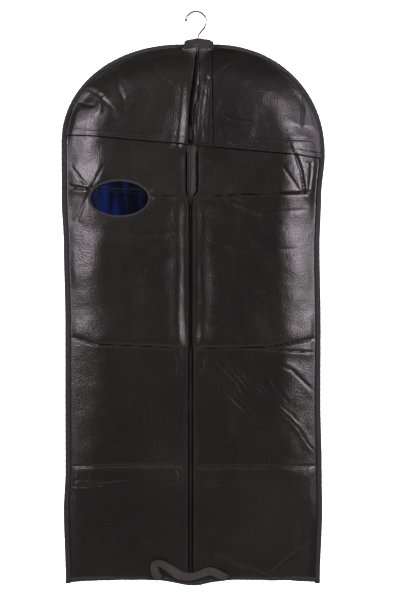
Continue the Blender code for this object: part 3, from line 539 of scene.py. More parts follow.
def cloth(name, X, Y, Z, mat, thick=CLOTH, hole=None):
    """A closed sheet of cloth over a grid: Y is its outer (-Y) face; hole drops and snaps cells inside an ellipse."""
    nu, nv = X.shape
    keep = np.ones((nu - 1, nv - 1), bool)
    X, Y, Z = X.copy(), Y.copy(), Z.copy()
    if hole:
        hx, hz, ha, hb = hole
        q = np.hypot((X - hx) / ha, (Z - hz) / hb)
        cq = (q[:-1, :-1] + q[1:, :-1] + q[:-1, 1:] + q[1:, 1:]) / 4
        keep = cq > 1.0
        touch = np.zeros((nu, nv), bool)
        out = np.zeros((nu, nv), bool)
        for a in (0, 1):
            for b in (0, 1):
                touch[a:nu - 1 + a, b:nv - 1 + b] |= ~keep
                out[a:nu - 1 + a, b:nv - 1 + b] |= keep
        rim = touch & out
        X[rim] = hx + (X[rim] - hx) / q[rim]
        Z[rim] = hz + (Z[rim] - hz) / q[rim]
        Y[rim] = front(X[rim], Z[rim])
    count = nu * nv
    verts = np.concatenate([np.stack([X, Y, Z], -1).reshape(-1, 3), np.stack([X, Y + thick, Z], -1).reshape(-1, 3)])
    faces, edges = [], {}
    for i in range(nu - 1):
        for j in range(nv - 1):
            if keep[i, j]:
                a, b, c, d = i * nv + j, (i + 1) * nv + j, (i + 1) * nv + j + 1, i * nv + j + 1
                faces.append((a, b, c, d))
                faces.append((count + d, count + c, count + b, count + a))
                for e in ((a, b), (b, c), (c, d), (d, a)):
                    if (e[1], e[0]) in edges:
                        del edges[(e[1], e[0])]
                    else:
                        edges[e] = True
    for a, b in edges:
        faces.append((b, a, count + a, count + b))
    used = np.unique(np.array([i for f in faces for i in f]))
    renum = {int(v): k for k, v in enumerate(used)}
    faces = [tuple(renum[i] for i in f) for f in faces]
    return add_mesh(name, verts[used], faces, mat, True, 60)


UP, MID, LOW = "upper_section", "middle_section", "lower_section"


def upper_blend(o):
    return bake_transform(o)


def lower_blend(o):
    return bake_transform(o)


def graded(top, low, step, fine_at=(-0.4160, FOLD_MIDDLE_Z, FOLD_LOWER_Z)):
    """Heights from top to low, closer together at the folds."""
    zs = [top]
    while zs[-1] > low + step * 0.5:
        near = min(abs(zs[-1] - f) for f in fine_at)
        zs.append(zs[-1] - (min(step, 0.0020) if near < 0.022 else step))
    zs[-1] = low
    return np.array(zs)


STEP = 0.0031


def slit_fold(x, z, side):
    """The panels' inner edges are turned back and stitched, so a strip beside the slit stands slightly proud."""
    d = np.abs(x - ZIP_X) - slit_half(z, side)
    return 0.0007 * (1 - smooth((d - 0.0085) / 0.0025))


def front_panel(name, side, top, low, cut_hem, hole=None):
    t = np.linspace(0, 1, int(0.30 / STEP) + 1)
    s = np.where(t < 0.25, t * 0.9, t)
    s = lerp(t, t ** 1.25, 0.6)
    zs = graded(0.0, 1.0, 1.0) if False else None
    rows = graded(-0.27 if top is None else top, low, STEP)
    X = np.zeros((len(s), len(rows)))
    Z = np.zeros_like(X)
    for i, u in enumerate(s):
        guess = lerp(side_x(side, -0.5) - side * 0.009, ZIP_X, u)
        head = seam_z(guess) + 0.0115 if top is None else top
        foot = hem_z(guess) + 0.0085 if cut_hem else low
        for j, r in enumerate(rows):
            # rows keep their heights at the folds and are only eased at the seam and the hem
            z = r
            if top is None:
                w = float(smooth((r + 0.40) / 0.13))
                z = lerp(r, head + (r - rows[0]) * (head + 0.40) / (rows[0] + 0.40) , w) if r > -0.40 else r
                if r > -0.40:
                    z = -0.40 + (r + 0.40) * (head + 0.40) / (rows[0] + 0.40)
            elif cut_hem and r < -1.15:
                z = -1.15 + (r + 1.15) * (foot + 1.15) / (rows[-1] + 1.15)
            X[i, j] = lerp(side_x(side, z) - side * 0.009, ZIP_X + side * float(slit_half(z, side)), u)
            Z[i, j] = z
    Y = front(X, Z) - slit_fold(X, Z, side)
    if top is None:  # tucked under the yoke's hem
        Y = Y + 0.0006 * smooth((Z - (seam_z(X) - 0.002)) / 0.004)
    return cloth(name, X, Y, Z, SHELL, hole=hole)


# ---------------------------------------------------------------- front panels
fl_u = front_panel("front_left_cloth_upper", -1, None, SPLIT_Z, False, (WINDOW_X, WINDOW_Z, WINDOW_A, WINDOW_B))
fr_u = front_panel("front_right_cloth_upper", 1, None, SPLIT_Z, False)
fl_l = front_panel("front_left_cloth_lower", -1, SPLIT_Z, -1.306, True)
fr_l = front_panel("front_right_cloth_lower", 1, SPLIT_Z, -1.306, True)
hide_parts("front_left_upper", "front_left_middle")
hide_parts("front_right_upper", "front_right_middle")
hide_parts("front_left_lower")
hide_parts("front_right_lower")
for o, w, l, cut in ((fl_u, 0.283, 0.638, 0.16841), (fr_u, 0.294, 0.611, 0.17362)):
    upper_blend(o)
for o, w, cut in ((fl_l, 0.277, 0.10805), (fr_l, 0.288, 0.11268)):
    lower_blend(o)


# ---------------------------------------------------------------- yoke
def yoke_place(side):
    x_in = slit_x(-0.31) - 0.0042 if side < 0 else 0.0358
    x_out = side_x(side, -0.29 if side < 0 else -0.33) - side * 0.009
    top = NECK_LOW_Z - 0.0004
    corner = NECK_X + side * NECK_HALF
    over = [arch(side, lerp(0.02, 1.0, i / 60), 0.009) for i in range(61)]
    over = [p for p in over if (p[0] - corner) * side > 0.0005]
    over.append((corner - side * 0.0006, over[-1][1] - 0.0004))
    over.append((corner - side * 0.0020, top))
    end = slit_x(top) - 0.0042 if side < 0 else 0.0328
    over.append((end, top))
    lengths = [0.0]
    for (ax, az), (bx, bz) in zip(over, over[1:]):
        lengths.append(lengths[-1] + math.hypot(bx - ax, bz - az))

    def upper(s):
        d = s * lengths[-1]
        for k in range(len(over) - 1):
            if d <= lengths[k + 1] or k == len(over) - 2:
                t = (d - lengths[k]) / (lengths[k + 1] - lengths[k])
                return lerp(over[k][0], over[k + 1][0], t), lerp(over[k][1], over[k + 1][1], t)

    def inner(z):
        return slit_x(z) - 0.0042 if side < 0 else lerp(0.0358, 0.0328, (z + 0.31) / 0.235)

    def place(u, v):
        s = u ** 1.25
        sx = lerp(x_out, x_in, s)
        sz = seam_z(sx)
        ax, az = upper(s)
        x, z = lerp(sx, ax, v), lerp(sz, az, v)
        return x + s ** 4 * (inner(z) - lerp(x_in, end, v)), z

    return place


def yoke_front(X, Z):
    Y = front(X, Z) - YOKE_OUT
    # the hem of the yoke is turned under twice, and its strip stands proud with a groove above it
    up = Z - seam_z(X)
    Y = Y - 0.0007 * (1 - smooth((up - 0.0115) / 0.0020)) + 0.0005 * np.exp(-(((up - 0.0135) / 0.0018) ** 2))
    Y = Y + 0.0010 * (1 - smooth(up / 0.0012))
    return Y


def grid_of(place, nu, nv):
    P = np.array([[place(i / nu, j / nv) for j in range(nv + 1)] for i in range(nu + 1)])
    return P[..., 0], P[..., 1]


def fine_v(v):
    return v


NY = 104
for side, word in ((-1, "left"), (1, "right")):
    place = yoke_place(side)
    X, Z = grid_of(lambda u, v: place(u, v ** 1.25), NY, NY - 8)
    o = cloth(f"yoke_{word}_cloth", X, yoke_front(X, Z), Z, YOKE)
    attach(o, UP)
    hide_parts(f"yoke_{word}")


def placket_at(u, v):
    top = NECK_LOW_Z - 0.0004
    z = lerp(seam_z(0.012), top, v)
    a = slit_x(z) + 0.0038
    b = lerp(0.0358, 0.0328, (z + 0.31) / 0.235) + 0.0030
    x = lerp(a, b, u)
    if v == 0:
        z = seam_z(x)
    return x, z


PX, PZ = grid_of(placket_at, 18, 120)


def placket_front(X, Z):
    """A folded strip that crumples along its length: short slanting puckers between its two edges."""
    Y = yoke_front(X, Z) - 0.0004
    v = (Z + 0.31) / 0.234
    across = (X - (np.vectorize(slit_x)(Z) + 0.0038)) / 0.032
    pucker = 0.0020 * cloth_noise(X, Z * 0.8 + 0.9 * X, 40.0, 9.4) * smooth(across / 0.3) * smooth((1.02 - across) / 0.25)
    pucker = pucker * (0.25 + 0.75 * np.exp(-(((v - 0.55) / 0.28) ** 2)))
    roll = 0.0014 * np.exp(-((across / 0.16) ** 2)) + 0.0012 * np.exp(-(((across - 0.90) / 0.12) ** 2))
    pleat = 0.0010 * np.exp(-(((across - 0.42 - 0.25 * (v - 0.5)) / 0.05) ** 2))
    return Y - 0.0006 - pucker - (roll - pleat) * smooth(v / 0.05)


o = cloth("yoke_placket_cloth", PX, placket_front(PX, PZ), PZ, YOKE)
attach(o, UP)
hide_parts("yoke_placket")

UX, UZ = grid_of(lambda u, v: (slit_x(lerp(-0.2420, -0.0790, v)) + lerp(-0.014, 0.014, u), lerp(-0.2420, -0.0790, v)), 6, 34)
o = cloth("yoke_underlap_cloth", UX, front(UX, UZ, False) + 0.0008 + 0.0003 * np.sin(UZ * 160), UZ, SHELL)
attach(o, UP)
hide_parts("yoke_underlap")


# ---------------------------------------------------------------- back
def back_cloth(name, top_is_neck, z0, z1, mat):
    zs = graded(z0, z1, 0.0085)
    cols = np.linspace(0, 1, 62)
    X = np.zeros((len(cols), len(zs)))
    Z = np.zeros_like(X)
    for j, z in enumerate(zs):
        a, b = side_x(-1, z) + 0.0085, side_x(1, z) - 0.0085
        if top_is_neck and z > -0.0828:
            a, b = NECK_X - NECK_HALF + 0.0004, NECK_X + NECK_HALF - 0.0004
        for i, u in enumerate(cols):
            X[i, j] = lerp(a, b, u)
            Z[i, j] = z
            if not top_is_neck and z < -1.20:
                Z[i, j] = -1.20 + (z + 1.20) * (hem_z(X[i, j]) + 0.0085 + 1.20) / (z1 + 1.20)
    edge = smooth(edge_distance(X, Z) / 0.02)
    ripple = 0.0007 * cloth_noise(X, Z, 8.0, 5.5) + 0.0003 * cloth_noise(X, Z, 26.0, 2.2)
    for f in (FOLD_MIDDLE_Z, FOLD_LOWER_Z, -0.418):
        ripple = ripple + 0.0009 * np.exp(-(((Z - f) / 0.003) ** 2))
    Y = BACK_Y - CLOTH - (0.0009 + ripple) * edge
    return cloth(name, X, Y, Z, mat)


bu = back_cloth("back_cloth_upper", True, -0.0765, SPLIT_Z, BACKING)
bl = back_cloth("back_cloth_lower", False, SPLIT_Z, -1.306, BACKING)
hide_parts("back_upper", "back_middle")
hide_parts("back_lower")
upper_blend(bu)
lower_blend(bl)


# ---------------------------------------------------------------- folded edge binding
def sweep(name, centre, normals, half_w, mat, y_front, y_back, wave=0.00035, seed=0.0, closed_ends=True):
    """A rounded folded tape round an edge: centre is the middle line in (x, z), normals point outwards."""
    n = len(centre)
    ring = []
    steps = 14
    for k in range(steps):
        a = 2 * math.pi * k / steps
        c, s = math.cos(a), math.sin(a)
        ring.append((math.copysign(abs(c) ** 0.45, c), math.copysign(abs(s) ** 0.6, s)))
    verts, faces = [], []
    my, hy = (y_front + y_back) / 2, (y_back - y_front) / 2
    run = 0.0
    for i, ((x, z), (nx, nz)) in enumerate(zip(centre, normals)):
        if i:
            run += math.hypot(x - centre[i - 1][0], z - centre[i - 1][1])
        pucker = wave * math.sin(run * 2 * math.pi / 0.0135 + seed) + wave * 1.6 * noise.noise(Vector((run * 40, seed, 2.0)))
        wide = half_w + 0.5 * pucker
        for c, s in ring:
            verts.append((x + nx * c * wide, my + s * (hy + pucker * 0.8), z + nz * c * wide))
    for i in range(n - 1):
        for k in range(steps):
            m = (k + 1) % steps
            faces.append((i * steps + k, i * steps + m, (i + 1) * steps + m, (i + 1) * steps + k))
    faces.append(tuple(range(steps - 1, -1, -1)))
    faces.append(tuple((n - 1) * steps + k for k in range(steps)))
    return add_mesh(name, verts, faces, mat, True, 70)


def with_normals(points, side):
    points = np.array(points)
    d = np.gradient(points, axis=0)
    d /= np.linalg.norm(d, axis=1)[:, None]
    n = np.stack([d[:, 1], -d[:, 0]], 1)
    if side:
        n *= np.where(n[:, :1] * side < 0, -1, 1) if abs(side) == 1 else 1
    return points, n


def edge_path(side, z_from, z_to, over_arch):
    """Outer edge of the bag from the neck down."""
    pts = []
    if over_arch:
        end = NECK_X + side * (NECK_HALF - 0.0055)
        x0, top, half, high = LEFT_ARCH if side < 0 else RIGHT_ARCH
        for i in range(150):
            x, z = arch(side, 1 - i / 150)
            if (x - end) * side > 0:
                pts.append((x, z))
        if (pts[0][0] - end) * side > 0.002:
            pts = [(lerp(end, pts[0][0], k / 3), pts[0][1]) for k in range(3)] + pts
        z_from = top - high
    for z in graded(z_from, z_to, 0.0045):
        pts.append((side_x(side, float(z)), float(z)))
    return pts


def bind_path(points, side):
    """Middle line of the binding, half its width inside the edge, with normals towards the outside."""
    P = np.array(points)
    d = np.gradient(P, axis=0)
    d /= np.linalg.norm(d, axis=1)[:, None]
    n = np.stack([-d[:, 1], d[:, 0]], 1) * (1 if side > 0 else -1)
    n = -n if (n[-1, 0] * side) < 0 else n
    return P - n * (BIND_W / 2 + 0.0002), n


STITCHES = {"upper": [], "lower": [], "top": []}   # paths of stitches by how they move
for side, word in ((-1, "left"), (1, "right")):
    c, n = bind_path(edge_path(side, None, SPLIT_Z, True), side)
    o = sweep(f"edge_binding_{word}_upper", c, n, BIND_W / 2 + 0.0006, BIND, BIND_FRONT_Y, BACK_Y - 0.0003, seed=side)
    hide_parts(f"binding_arch_{word}", f"binding_{word}_upper", f"binding_{word}_middle")
    upper_blend(o)
    inner = c - n * 0.0022
    STITCHES["upper"].append(np.column_stack([inner[:, 0], np.full(len(c), BIND_FRONT_Y - 0.0001), inner[:, 1]]))
    c, n = bind_path(edge_path(side, SPLIT_Z, -1.3215, False), side)
    o = sweep(f"edge_binding_{word}_lower", c, n, BIND_W / 2 + 0.0006, BIND, BIND_FRONT_Y, BACK_Y - 0.0003, seed=side)
    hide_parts(f"binding_{word}_lower")
    lower_blend(o)
    inner = c - n * 0.0022
    STITCHES["lower"].append(np.column_stack([inner[:, 0], np.full(len(c), BIND_FRONT_Y - 0.0001), inner[:, 1]]))

hem = [(x, hem_z(x)) for x in np.linspace(side_x(-1, -1.315) + 0.004, side_x(1, -1.315) - 0.004, 150)]
hem = np.array([(x, z + 0.0016 * noise.noise(Vector((x * 26, 4.0, 0)))) for x, z in hem])
d = np.gradient(hem, axis=0)
d /= np.linalg.norm(d, axis=1)[:, None]
hn = np.stack([d[:, 1], -d[:, 0]], 1)
hc = hem - hn * (BIND_W / 2)
o = sweep("hem_binding_cloth", hc, hn, BIND_W / 2 + 0.0004, BIND, BIND_FRONT_Y - 0.0004, BACK_Y - 0.0003, seed=2.0)
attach(o, LOW)
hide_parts("binding_hem")
STITCHES["low_ride"] = [np.column_stack([(hc - hn * 0.0022)[:, 0], np.full(len(hc), BIND_FRONT_Y - 0.0006), (hc - hn * 0.0022)[:, 1]])]


# ---------------------------------------------------------------- stitches
def surface_path(points, offset, relief=True):
    P = np.array(points, float)
    y = front(P[:, 0], P[:, 1], relief)
    return np.column_stack([P[:, 0], y - offset, P[:, 1]])


def dense(points, step=0.004):
    out = []
    for (ax, az), (bx, bz) in zip(points, points[1:]):
        n = max(1, int(math.hypot(bx - ax, bz - az) / step))
        out += [(lerp(ax, bx, i / n), lerp(az, bz, i / n)) for i in range(n)]
    return out + [points[-1]]


def stitch_mesh(name, paths, mat, length=0.0030, pitch=0.0042, radius=0.00028):
    verts, faces = [], []
    for path in paths:
        P = np.asarray(path)
        seg = np.linalg.norm(np.diff(P, axis=0), axis=1)
        s = np.concatenate([[0], np.cumsum(seg)])
        for k in range(int(s[-1] / pitch)):
            a, b = k * pitch + 0.0004, k * pitch + 0.0004 + length
            if b > s[-1]:
                break
            p = [np.array([np.interp(q, s, P[:, i]) for i in range(3)]) for q in (a, (a + b) / 2, b)]
            t = p[2] - p[0]
            t /= np.linalg.norm(t)
            out = np.array([0.0, -1.0, 0.0])
            w = np.cross(t, out)
            w /= np.linalg.norm(w)
            base = len(verts)
            for q, (r, lift) in zip(p, ((0.55, -0.00010), (1.0, 0.00018), (0.55, -0.00010))):
                for m in range(6):
                    ang = math.pi * 2 * m / 6
                    verts.append(q + out * (lift + radius * r * math.sin(ang)) + w * radius * r * 1.15 * math.cos(ang))
            for ring in (0, 6):
                for m in range(6):
                    n2 = (m + 1) % 6
                    faces.append((base + ring + m, base + ring + n2, base + ring + 6 + n2, base + ring + 6 + m))
            faces.append(tuple(base + m for m in range(5, -1, -1)))
            faces.append(tuple(base + 12 + m for m in range(6)))
    return add_mesh(name, verts, faces, mat, True, 60)


# panel edges beside the zip, in the two moving groups
for side in (-1, 1):
    for key, z0, z1 in (("upper", -0.318, SPLIT_Z + 0.001), ("lower", SPLIT_Z - 0.001, -1.300)):
        zs = graded(z0, z1, 0.006)
        pts = [(ZIP_X + side * (0.0056 + float(slit_half(z, side))), float(z)) for z in zs]
        STITCHES[key].append(surface_path(pts, 0.0008))
zs = graded(-0.300, -0.424, 0.006)
STITCHES["upper"].append(np.array([(ZIP_X + 0.0072, zip_y(z) + 0.0018, z) for z in zs]))
STITCHES["upper"].append(np.array([(ZIP_X - 0.0062, zip_y(z) + 0.0018, z) for z in zs]))
        
# yoke hem: two rows, left and right of the opening
for side in (-1, 1):
    for up in (0.0030, 0.0095):
        xs = np.linspace(side_x(side, -0.31) - side * 0.014, slit_x(-0.30) - 0.006 if side < 0 else slit_x(-0.30) + 0.006, 110)
        pts = np.array([(x, seam_z(x) + up) for x in xs])
        y = yoke_front(pts[:, 0], pts[:, 1]) - (0.0004 if side > 0 else 0.0)
        STITCHES["top"].append(np.column_stack([pts[:, 0], y - 0.0001 - (0.0006 * (pts[:, 0] < 0.036) if side > 0 else 0), pts[:, 1]]))
# yoke opening and placket
zs = np.linspace(-0.295, -0.082, 90)
pts = np.array([(slit_x(z) - 0.0042 - 0.0030, z) for z in zs])
STITCHES["top"].append(np.column_stack([pts[:, 0], yoke_front(pts[:, 0], pts[:, 1]) - 0.0001, pts[:, 1]]))
pts = np.array([(lerp(0.0358, 0.0328, (z + 0.31) / 0.235) + 0.0008, z) for z in zs])
STITCHES["top"].append(np.column_stack([pts[:, 0], placket_front(pts[:, 0], pts[:, 1]) - 0.0001, pts[:, 1]]))
# window rim
ring = [(WINDOW_X + (WINDOW_A + 0.0026) * math.cos(a), WINDOW_Z + (WINDOW_B + 0.0026) * math.sin(a)) for a in np.linspace(0, 2 * math.pi, 160)]
STITCHES["top"].append(surface_path(ring, 0.0016))

o = stitch_mesh("stitches_upper", STITCHES["upper"], THREAD)
upper_blend(o)
o = stitch_mesh("stitches_lower", STITCHES["lower"], THREAD)
lower_blend(o)
o = stitch_mesh("stitches_yoke_and_window", STITCHES["top"], THREAD)
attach(o, UP)
o = stitch_mesh("stitches_hem", STITCHES["low_ride"], THREAD)
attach(o, LOW)


# ---------------------------------------------------------------- painted shadow: narrow matt black strips along the turned edges, standing in for their shadow gaps
# painted shadow: near-black matt finish for strips laid where the turned edges only cast shade
def shadow_gap_material():
    m, t, bsdf = nodes_of("painted_shadow_gap_black")
    co = t.nodes.new("ShaderNodeTexCoord")
    n = t.nodes.new("ShaderNodeTexNoise")
    n.inputs["Scale"].default_value = 700
    link(t, co.outputs["Object"], n.inputs["Vector"])
    ramp = t.nodes.new("ShaderNodeValToRGB")
    ramp.color_ramp.elements[0].color = (0.0004, 0.0004, 0.0004, 1)
    ramp.color_ramp.elements[1].color = (0.0020, 0.0018, 0.0018, 1)
    link(t, n.outputs["Fac"], ramp.inputs["Fac"])
    link(t, ramp.outputs["Color"], bsdf.inputs["Base Color"])
    bsdf.inputs["Roughness"].default_value = 0.95
    bsdf.inputs["Specular IOR Level"].default_value = 0.05
    return m


SHADOW_GAP_PAINT = shadow_gap_material()


def ribbon(name, paths, half, thick=0.0003):
    verts, faces = [], []
    for path in paths:
        P = np.array(path, float)
        d = np.gradient(P, axis=0)
        n = np.stack([-d[:, 2], np.zeros(len(P)), d[:, 0]], 1)
        n /= np.linalg.norm(n, axis=1)[:, None]
        base = len(verts)
        for i, (p, q) in enumerate(zip(P, n)):
            w = half * min(1.0, 0.25 + 0.25 * min(i, len(P) - 1 - i))
            for a, b in ((-1, 0), (1, 0), (1, 1), (-1, 1)):
                verts.append(p + q * w * a + np.array([0, b * thick, 0]))
        for i in range(len(P) - 1):
            for k in range(4):
                m = (k + 1) % 4
                faces.append((base + i * 4 + k, base + i * 4 + m, base + i * 4 + 4 + m, base + i * 4 + 4 + k))
        faces.append((base + 3, base + 2, base + 1, base))
        e = base + (len(P) - 1) * 4
        faces.append((e, e + 1, e + 2, e + 3))
    return add_mesh(name, verts, faces, SHADOW_GAP_PAINT, False)


zs = np.linspace(-0.3060, -0.0960, 110)
edge_r = lambda z: lerp(0.0358, 0.0328, (z + 0.31) / 0.235) + 0.0034
right_line = [(edge_r(z), float(yoke_front(np.array([edge_r(z)]), np.array([z]))[0]) - 0.0004, z) for z in zs]
edge_l = lambda z: slit_x(z) - 0.0042 + 0.0004
left_line = [(edge_l(z), float(yoke_front(np.array([edge_l(z)]), np.array([z]))[0]) - 0.0003, z) for z in zs]
middle = [(slit_x(z) + 0.0038 + 0.0010, float(placket_front(np.array([slit_x(z) + 0.0048]), np.array([z]))[0]) - 0.0003, z) for z in zs[10:]]
fold_x = ((-0.1150, 0.0085), (-0.1932, 0.0064), (-0.2323, -0.0040), (-0.2737, -0.0072), (-0.3059, -0.0080))
fold_line = [(max(along(fold_x, z), edge_l(z) + 0.0100), float(placket_front(np.array([max(along(fold_x, z), edge_l(z) + 0.0100)]), np.array([z]))[0]) - 0.0003, z) for z in zs[::-1][10:]]
# painted shadow: dark strips along the placket's edges and fold, where the overlaps leave shadow lines
o = ribbon("placket_shadow_gap_strips", [right_line, left_line, fold_line], 0.0011)
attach(o, UP)
hem_lines = []
for side in (-1, 1):
    a = side_x(side, -0.31) - side * 0.012
    b = slit_x(-0.30) - 0.006 if side < 0 else 0.0380
    xs = np.linspace(a, b, 120)
    hem_lines.append([(x, float(yoke_front(np.array([x]), np.array([seam_z(x) + 0.0004]))[0]) + 0.0002, seam_z(x) - 0.0004) for x in xs])
# painted shadow: a dark strip tucked under the yoke's hem edge, where its overhang casts a shadow line
o = ribbon("yoke_hem_shadow_gap_strip", hem_lines, 0.0010)
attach(o, UP)
gaps = []
for side in (-1, 1):
    zz = graded(-0.322, -0.4290, 0.004, ())if False else np.linspace(-0.322, -0.4270, 40)
    gaps.append([(ZIP_X + side * (float(slit_half(z, side)) + 0.0004), float(front(np.array([ZIP_X + side * (float(slit_half(z, side)) + 0.0004)]), np.array([z]))[0]) - 0.0011, z) for z in zz])
# painted shadow: dark strips at the edges of the zip's opening, standing in for the shade inside the slit
o = ribbon("zip_opening_shadow_gap_strips", gaps, 0.0020)
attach(o, UP)
for word, z0, z1, blend in (("upper", -0.4340, SPLIT_Z, upper_blend), ("lower", SPLIT_Z, -1.2980, lower_blend)):
    runs = []
    for side in (-1, 1):
        zz = graded(z0, z1, 0.006)
        at = [ZIP_X + side * (float(slit_half(z, side)) + 0.0003) for z in zz]
        runs.append([(x, float(front(np.array([x]), np.array([z]))[0]) - 0.0009, float(z)) for x, z in zip(at, zz)])
    # painted shadow: dark strips beside the zip's slit, standing in for the shade in the gap
    o = ribbon(f"slit_shadow_gap_strips_{word}", runs, 0.0010)
    blend(o)


# ---------------------------------------------------------------- window
def oval_sheet(name, mat, offset, thick, relief):
    """Film: rings of the window's ellipse with soft upright waves."""
    n, rings = 150, 44
    verts = []
    for layer in (0, 1):
        for r in range(1, rings + 1):
            k = r / rings
            a = np.linspace(0, 2 * math.pi, n, endpoint=False)
            X = WINDOW_X + (WINDOW_A + 0.0048) * k * np.cos(a)
            Z = WINDOW_Z + (WINDOW_B + 0.0048) * k * np.sin(a)
            inside = 1 - smooth((k - 0.80) / 0.15)
            wave = 0.00025 * np.sin((X - WINDOW_X) * 190 + 8 * (Z - WINDOW_Z)) + 0.0005 * np.sin((X - WINDOW_X) * 83 + 1.0)
            line = 0.0022 * np.exp(-(((Z - (WINDOW_Z + 0.0235) + 0.035 * (X - WINDOW_X)) / 0.0016) ** 2))
            line += 0.0019 * np.exp(-(((Z - (WINDOW_Z + 0.0155) + 0.075 * (X - WINDOW_X)) / 0.0014) ** 2))
            Y = front(X, Z) + offset + (wave - line) * inside * relief + 0.0009 * inside + layer * thick
            verts += list(np.column_stack([X, Y, Z]))
        Y = front(np.array([WINDOW_X]), np.array([WINDOW_Z]))[0] + offset + 0.0009 + layer * thick
        verts.append((WINDOW_X, Y, WINDOW_Z))
    per = rings * n + 1
    faces = []
    for layer in (0, 1):
        b = layer * per
        for i in range(n):
            j = (i + 1) % n
            faces.append((b + per - 1, b + j, b + i))
            for r in range(rings - 1):
                faces.append((b + r * n + i, b + r * n + j, b + (r + 1) * n + j, b + (r + 1) * n + i))
    for i in range(n):
        j = (i + 1) % n
        faces.append(((rings - 1) * n + i, (rings - 1) * n + j, per + (rings - 1) * n + j, per + (rings - 1) * n + i))
    return add_mesh(name, verts, faces, mat, True, 70)


o = oval_sheet("window_film_sheet", FILM, CLOTH + 0.0004, 0.0004, 1.0)
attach(o, UP)
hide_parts("window_film")

n = 120
verts, faces = [], []
prof = ((-0.0012, 0.0006), (-0.0010, -0.0010), (0.0006, -0.0015), (0.0034, -0.0013), (0.0046, -0.0005), (0.0048, 0.0004))
for i in range(n):
    a = 2 * math.pi * i / n
    for grow, out in prof:
        x, z = WINDOW_X + (WINDOW_A + grow) * math.cos(a), WINDOW_Z + (WINDOW_B + grow) * math.sin(a)
        verts.append([x, out, z])
V = np.array(verts)
V[:, 1] += front(V[:, 0], V[:, 2])
m = len(prof)
for i in range(n):
    j = (i + 1) % n
    for k in range(m):
        k2 = (k + 1) % m
        faces.append((i * m + k, i * m + k2, j * m + k2, j * m + k))
o = add_mesh("window_welded_rim", V, faces, BIND, True, 60)
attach(o, UP)
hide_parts("window_rim")

# ---------------------------------------------------------------- neck collar
n, rows = 96, 9
verts, faces = [], []
for layer in (0, 1):
    for i in range(n):
        a = 2 * math.pi * i / n
        t = 0.5 + 0.5 * math.cos(a)
        lift = 0.60 + 0.40 * math.sin(math.pi * (1 - t)) ** 0.8
        for j in range(rows):
            k = j / (rows - 1)
            fold = 0.0010 * k * math.sin(9 * a + 1.3) + 0.0008 * k * math.sin(17 * a)
            rx = NECK_HALF - 0.0010 - 0.0030 * k + fold - layer * 0.0010
            ry = 0.0136 - 0.0020 * k + (fold if math.sin(a) < 0 else 0) - layer * 0.0010
            x = NECK_X + rx * math.cos(a)
            y = 0.0016 + ry * math.sin(a)
            z = lerp(-0.0830, NECK_LOW_Z + (NECK_TOP_Z - NECK_LOW_Z) * lift, k) + 0.0006 * k * math.sin(7 * a + 0.6)
            verts.append((x, y, z))
per = n * rows
for i in range(n):
    i2 = (i + 1) % n
    for j in range(rows - 1):
        faces.append((i * rows + j, i2 * rows + j, i2 * rows + j + 1, i * rows + j + 1))
        faces.append((per + i * rows + j + 1, per + i2 * rows + j + 1, per + i2 * rows + j, per + i * rows + j))
    faces.append((i * rows, per + i * rows, per + i2 * rows, i2 * rows))
    faces.append((i * rows + rows - 1, i2 * rows + rows - 1, per + i2 * rows + rows - 1, per + i * rows + rows - 1))
o = add_mesh("neck_collar_cloth", verts, faces, BIND, True, 60)
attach(o, UP)
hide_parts("neck_collar_front", "neck_collar_back")

# ---------------------------------------------------------------- zip tapes and teeth
def zip_pieces(word, z0, z1, blend):
    for side, name in ((-1, "left"), (1, "right")):
        zs = graded(z0, z1, 0.006)
        us = np.linspace(0, 1, 6)
        X = np.array([[ZIP_X + side * lerp(0.0004, 0.0150, u) for _ in zs] for u in us])
        Z = np.array([list(zs) for _ in us])
        Y = zip_y(Z) + 0.0019 + 0.00012 * np.sin(Z * 900)
        o = cloth(f"zip_tape_{name}_{word}_woven", X, Y, Z, TAPE, 0.0006)
        nodes = [f"zip_tape_{name}_upper", f"zip_tape_{name}_middle"] if word == "top" else [f"zip_tape_{name}_lower"]
        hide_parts(*nodes)
        blend(o)
        verts, faces = [], []
        pitch = 0.0021
        low = z1 if word == "top" else -1.288
        high = z0 - 0.025 if word == "top" else z0
        k0 = int(math.ceil((-high) / pitch))
        k1 = int((-low) / pitch)
        for k in range(k0, k1):
            z = -k * pitch - (pitch / 2 if side > 0 else 0)
            if z < low:
                continue
            y = zip_y(z)
            pts = [(side * 0.0027, 0.0014, 0.0002), (side * 0.0026, 0.0001, 0.0001), (side * 0.0010, -0.0005, 0.0), (side * 0.00062, -0.0003, -0.0001), (side * 0.00058, 0.0006, -0.0002)]
            base = len(verts)
            for q, (dx, dy, dz) in enumerate(pts):
                r = 0.00045 if q < 4 else 0.0003
                for c in range(5):
                    a = 2 * math.pi * c / 5
                    verts.append((ZIP_X + dx + (r * math.cos(a) * (1 if q in (0,) else 0.35)), y + dy + r * math.cos(a) * (0.3 if q == 0 else 0.9), z + dz + r * math.sin(a)))
            for q in range(len(pts) - 1):
                for c in range(5):
                    c2 = (c + 1) % 5
                    faces.append((base + q * 5 + c, base + q * 5 + c2, base + (q + 1) * 5 + c2, base + (q + 1) * 5 + c))
            faces.append(tuple(base + c for c in range(4, -1, -1)))
            faces.append(tuple(base + 20 + c for c in range(5)))
        o = add_mesh(f"zip_teeth_{name}_{word}", verts, faces, COIL, True, 60)
        nodes = [f"zip_coil_{name}_upper", f"zip_coil_{name}_middle"] if word == "top" else [f"zip_coil_{name}_lower"]
        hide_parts(*nodes)
        blend(o)


zip_pieces("top", -0.2400, SPLIT_Z, upper_blend)
zip_pieces("bottom", SPLIT_Z, -1.3000, lower_blend)


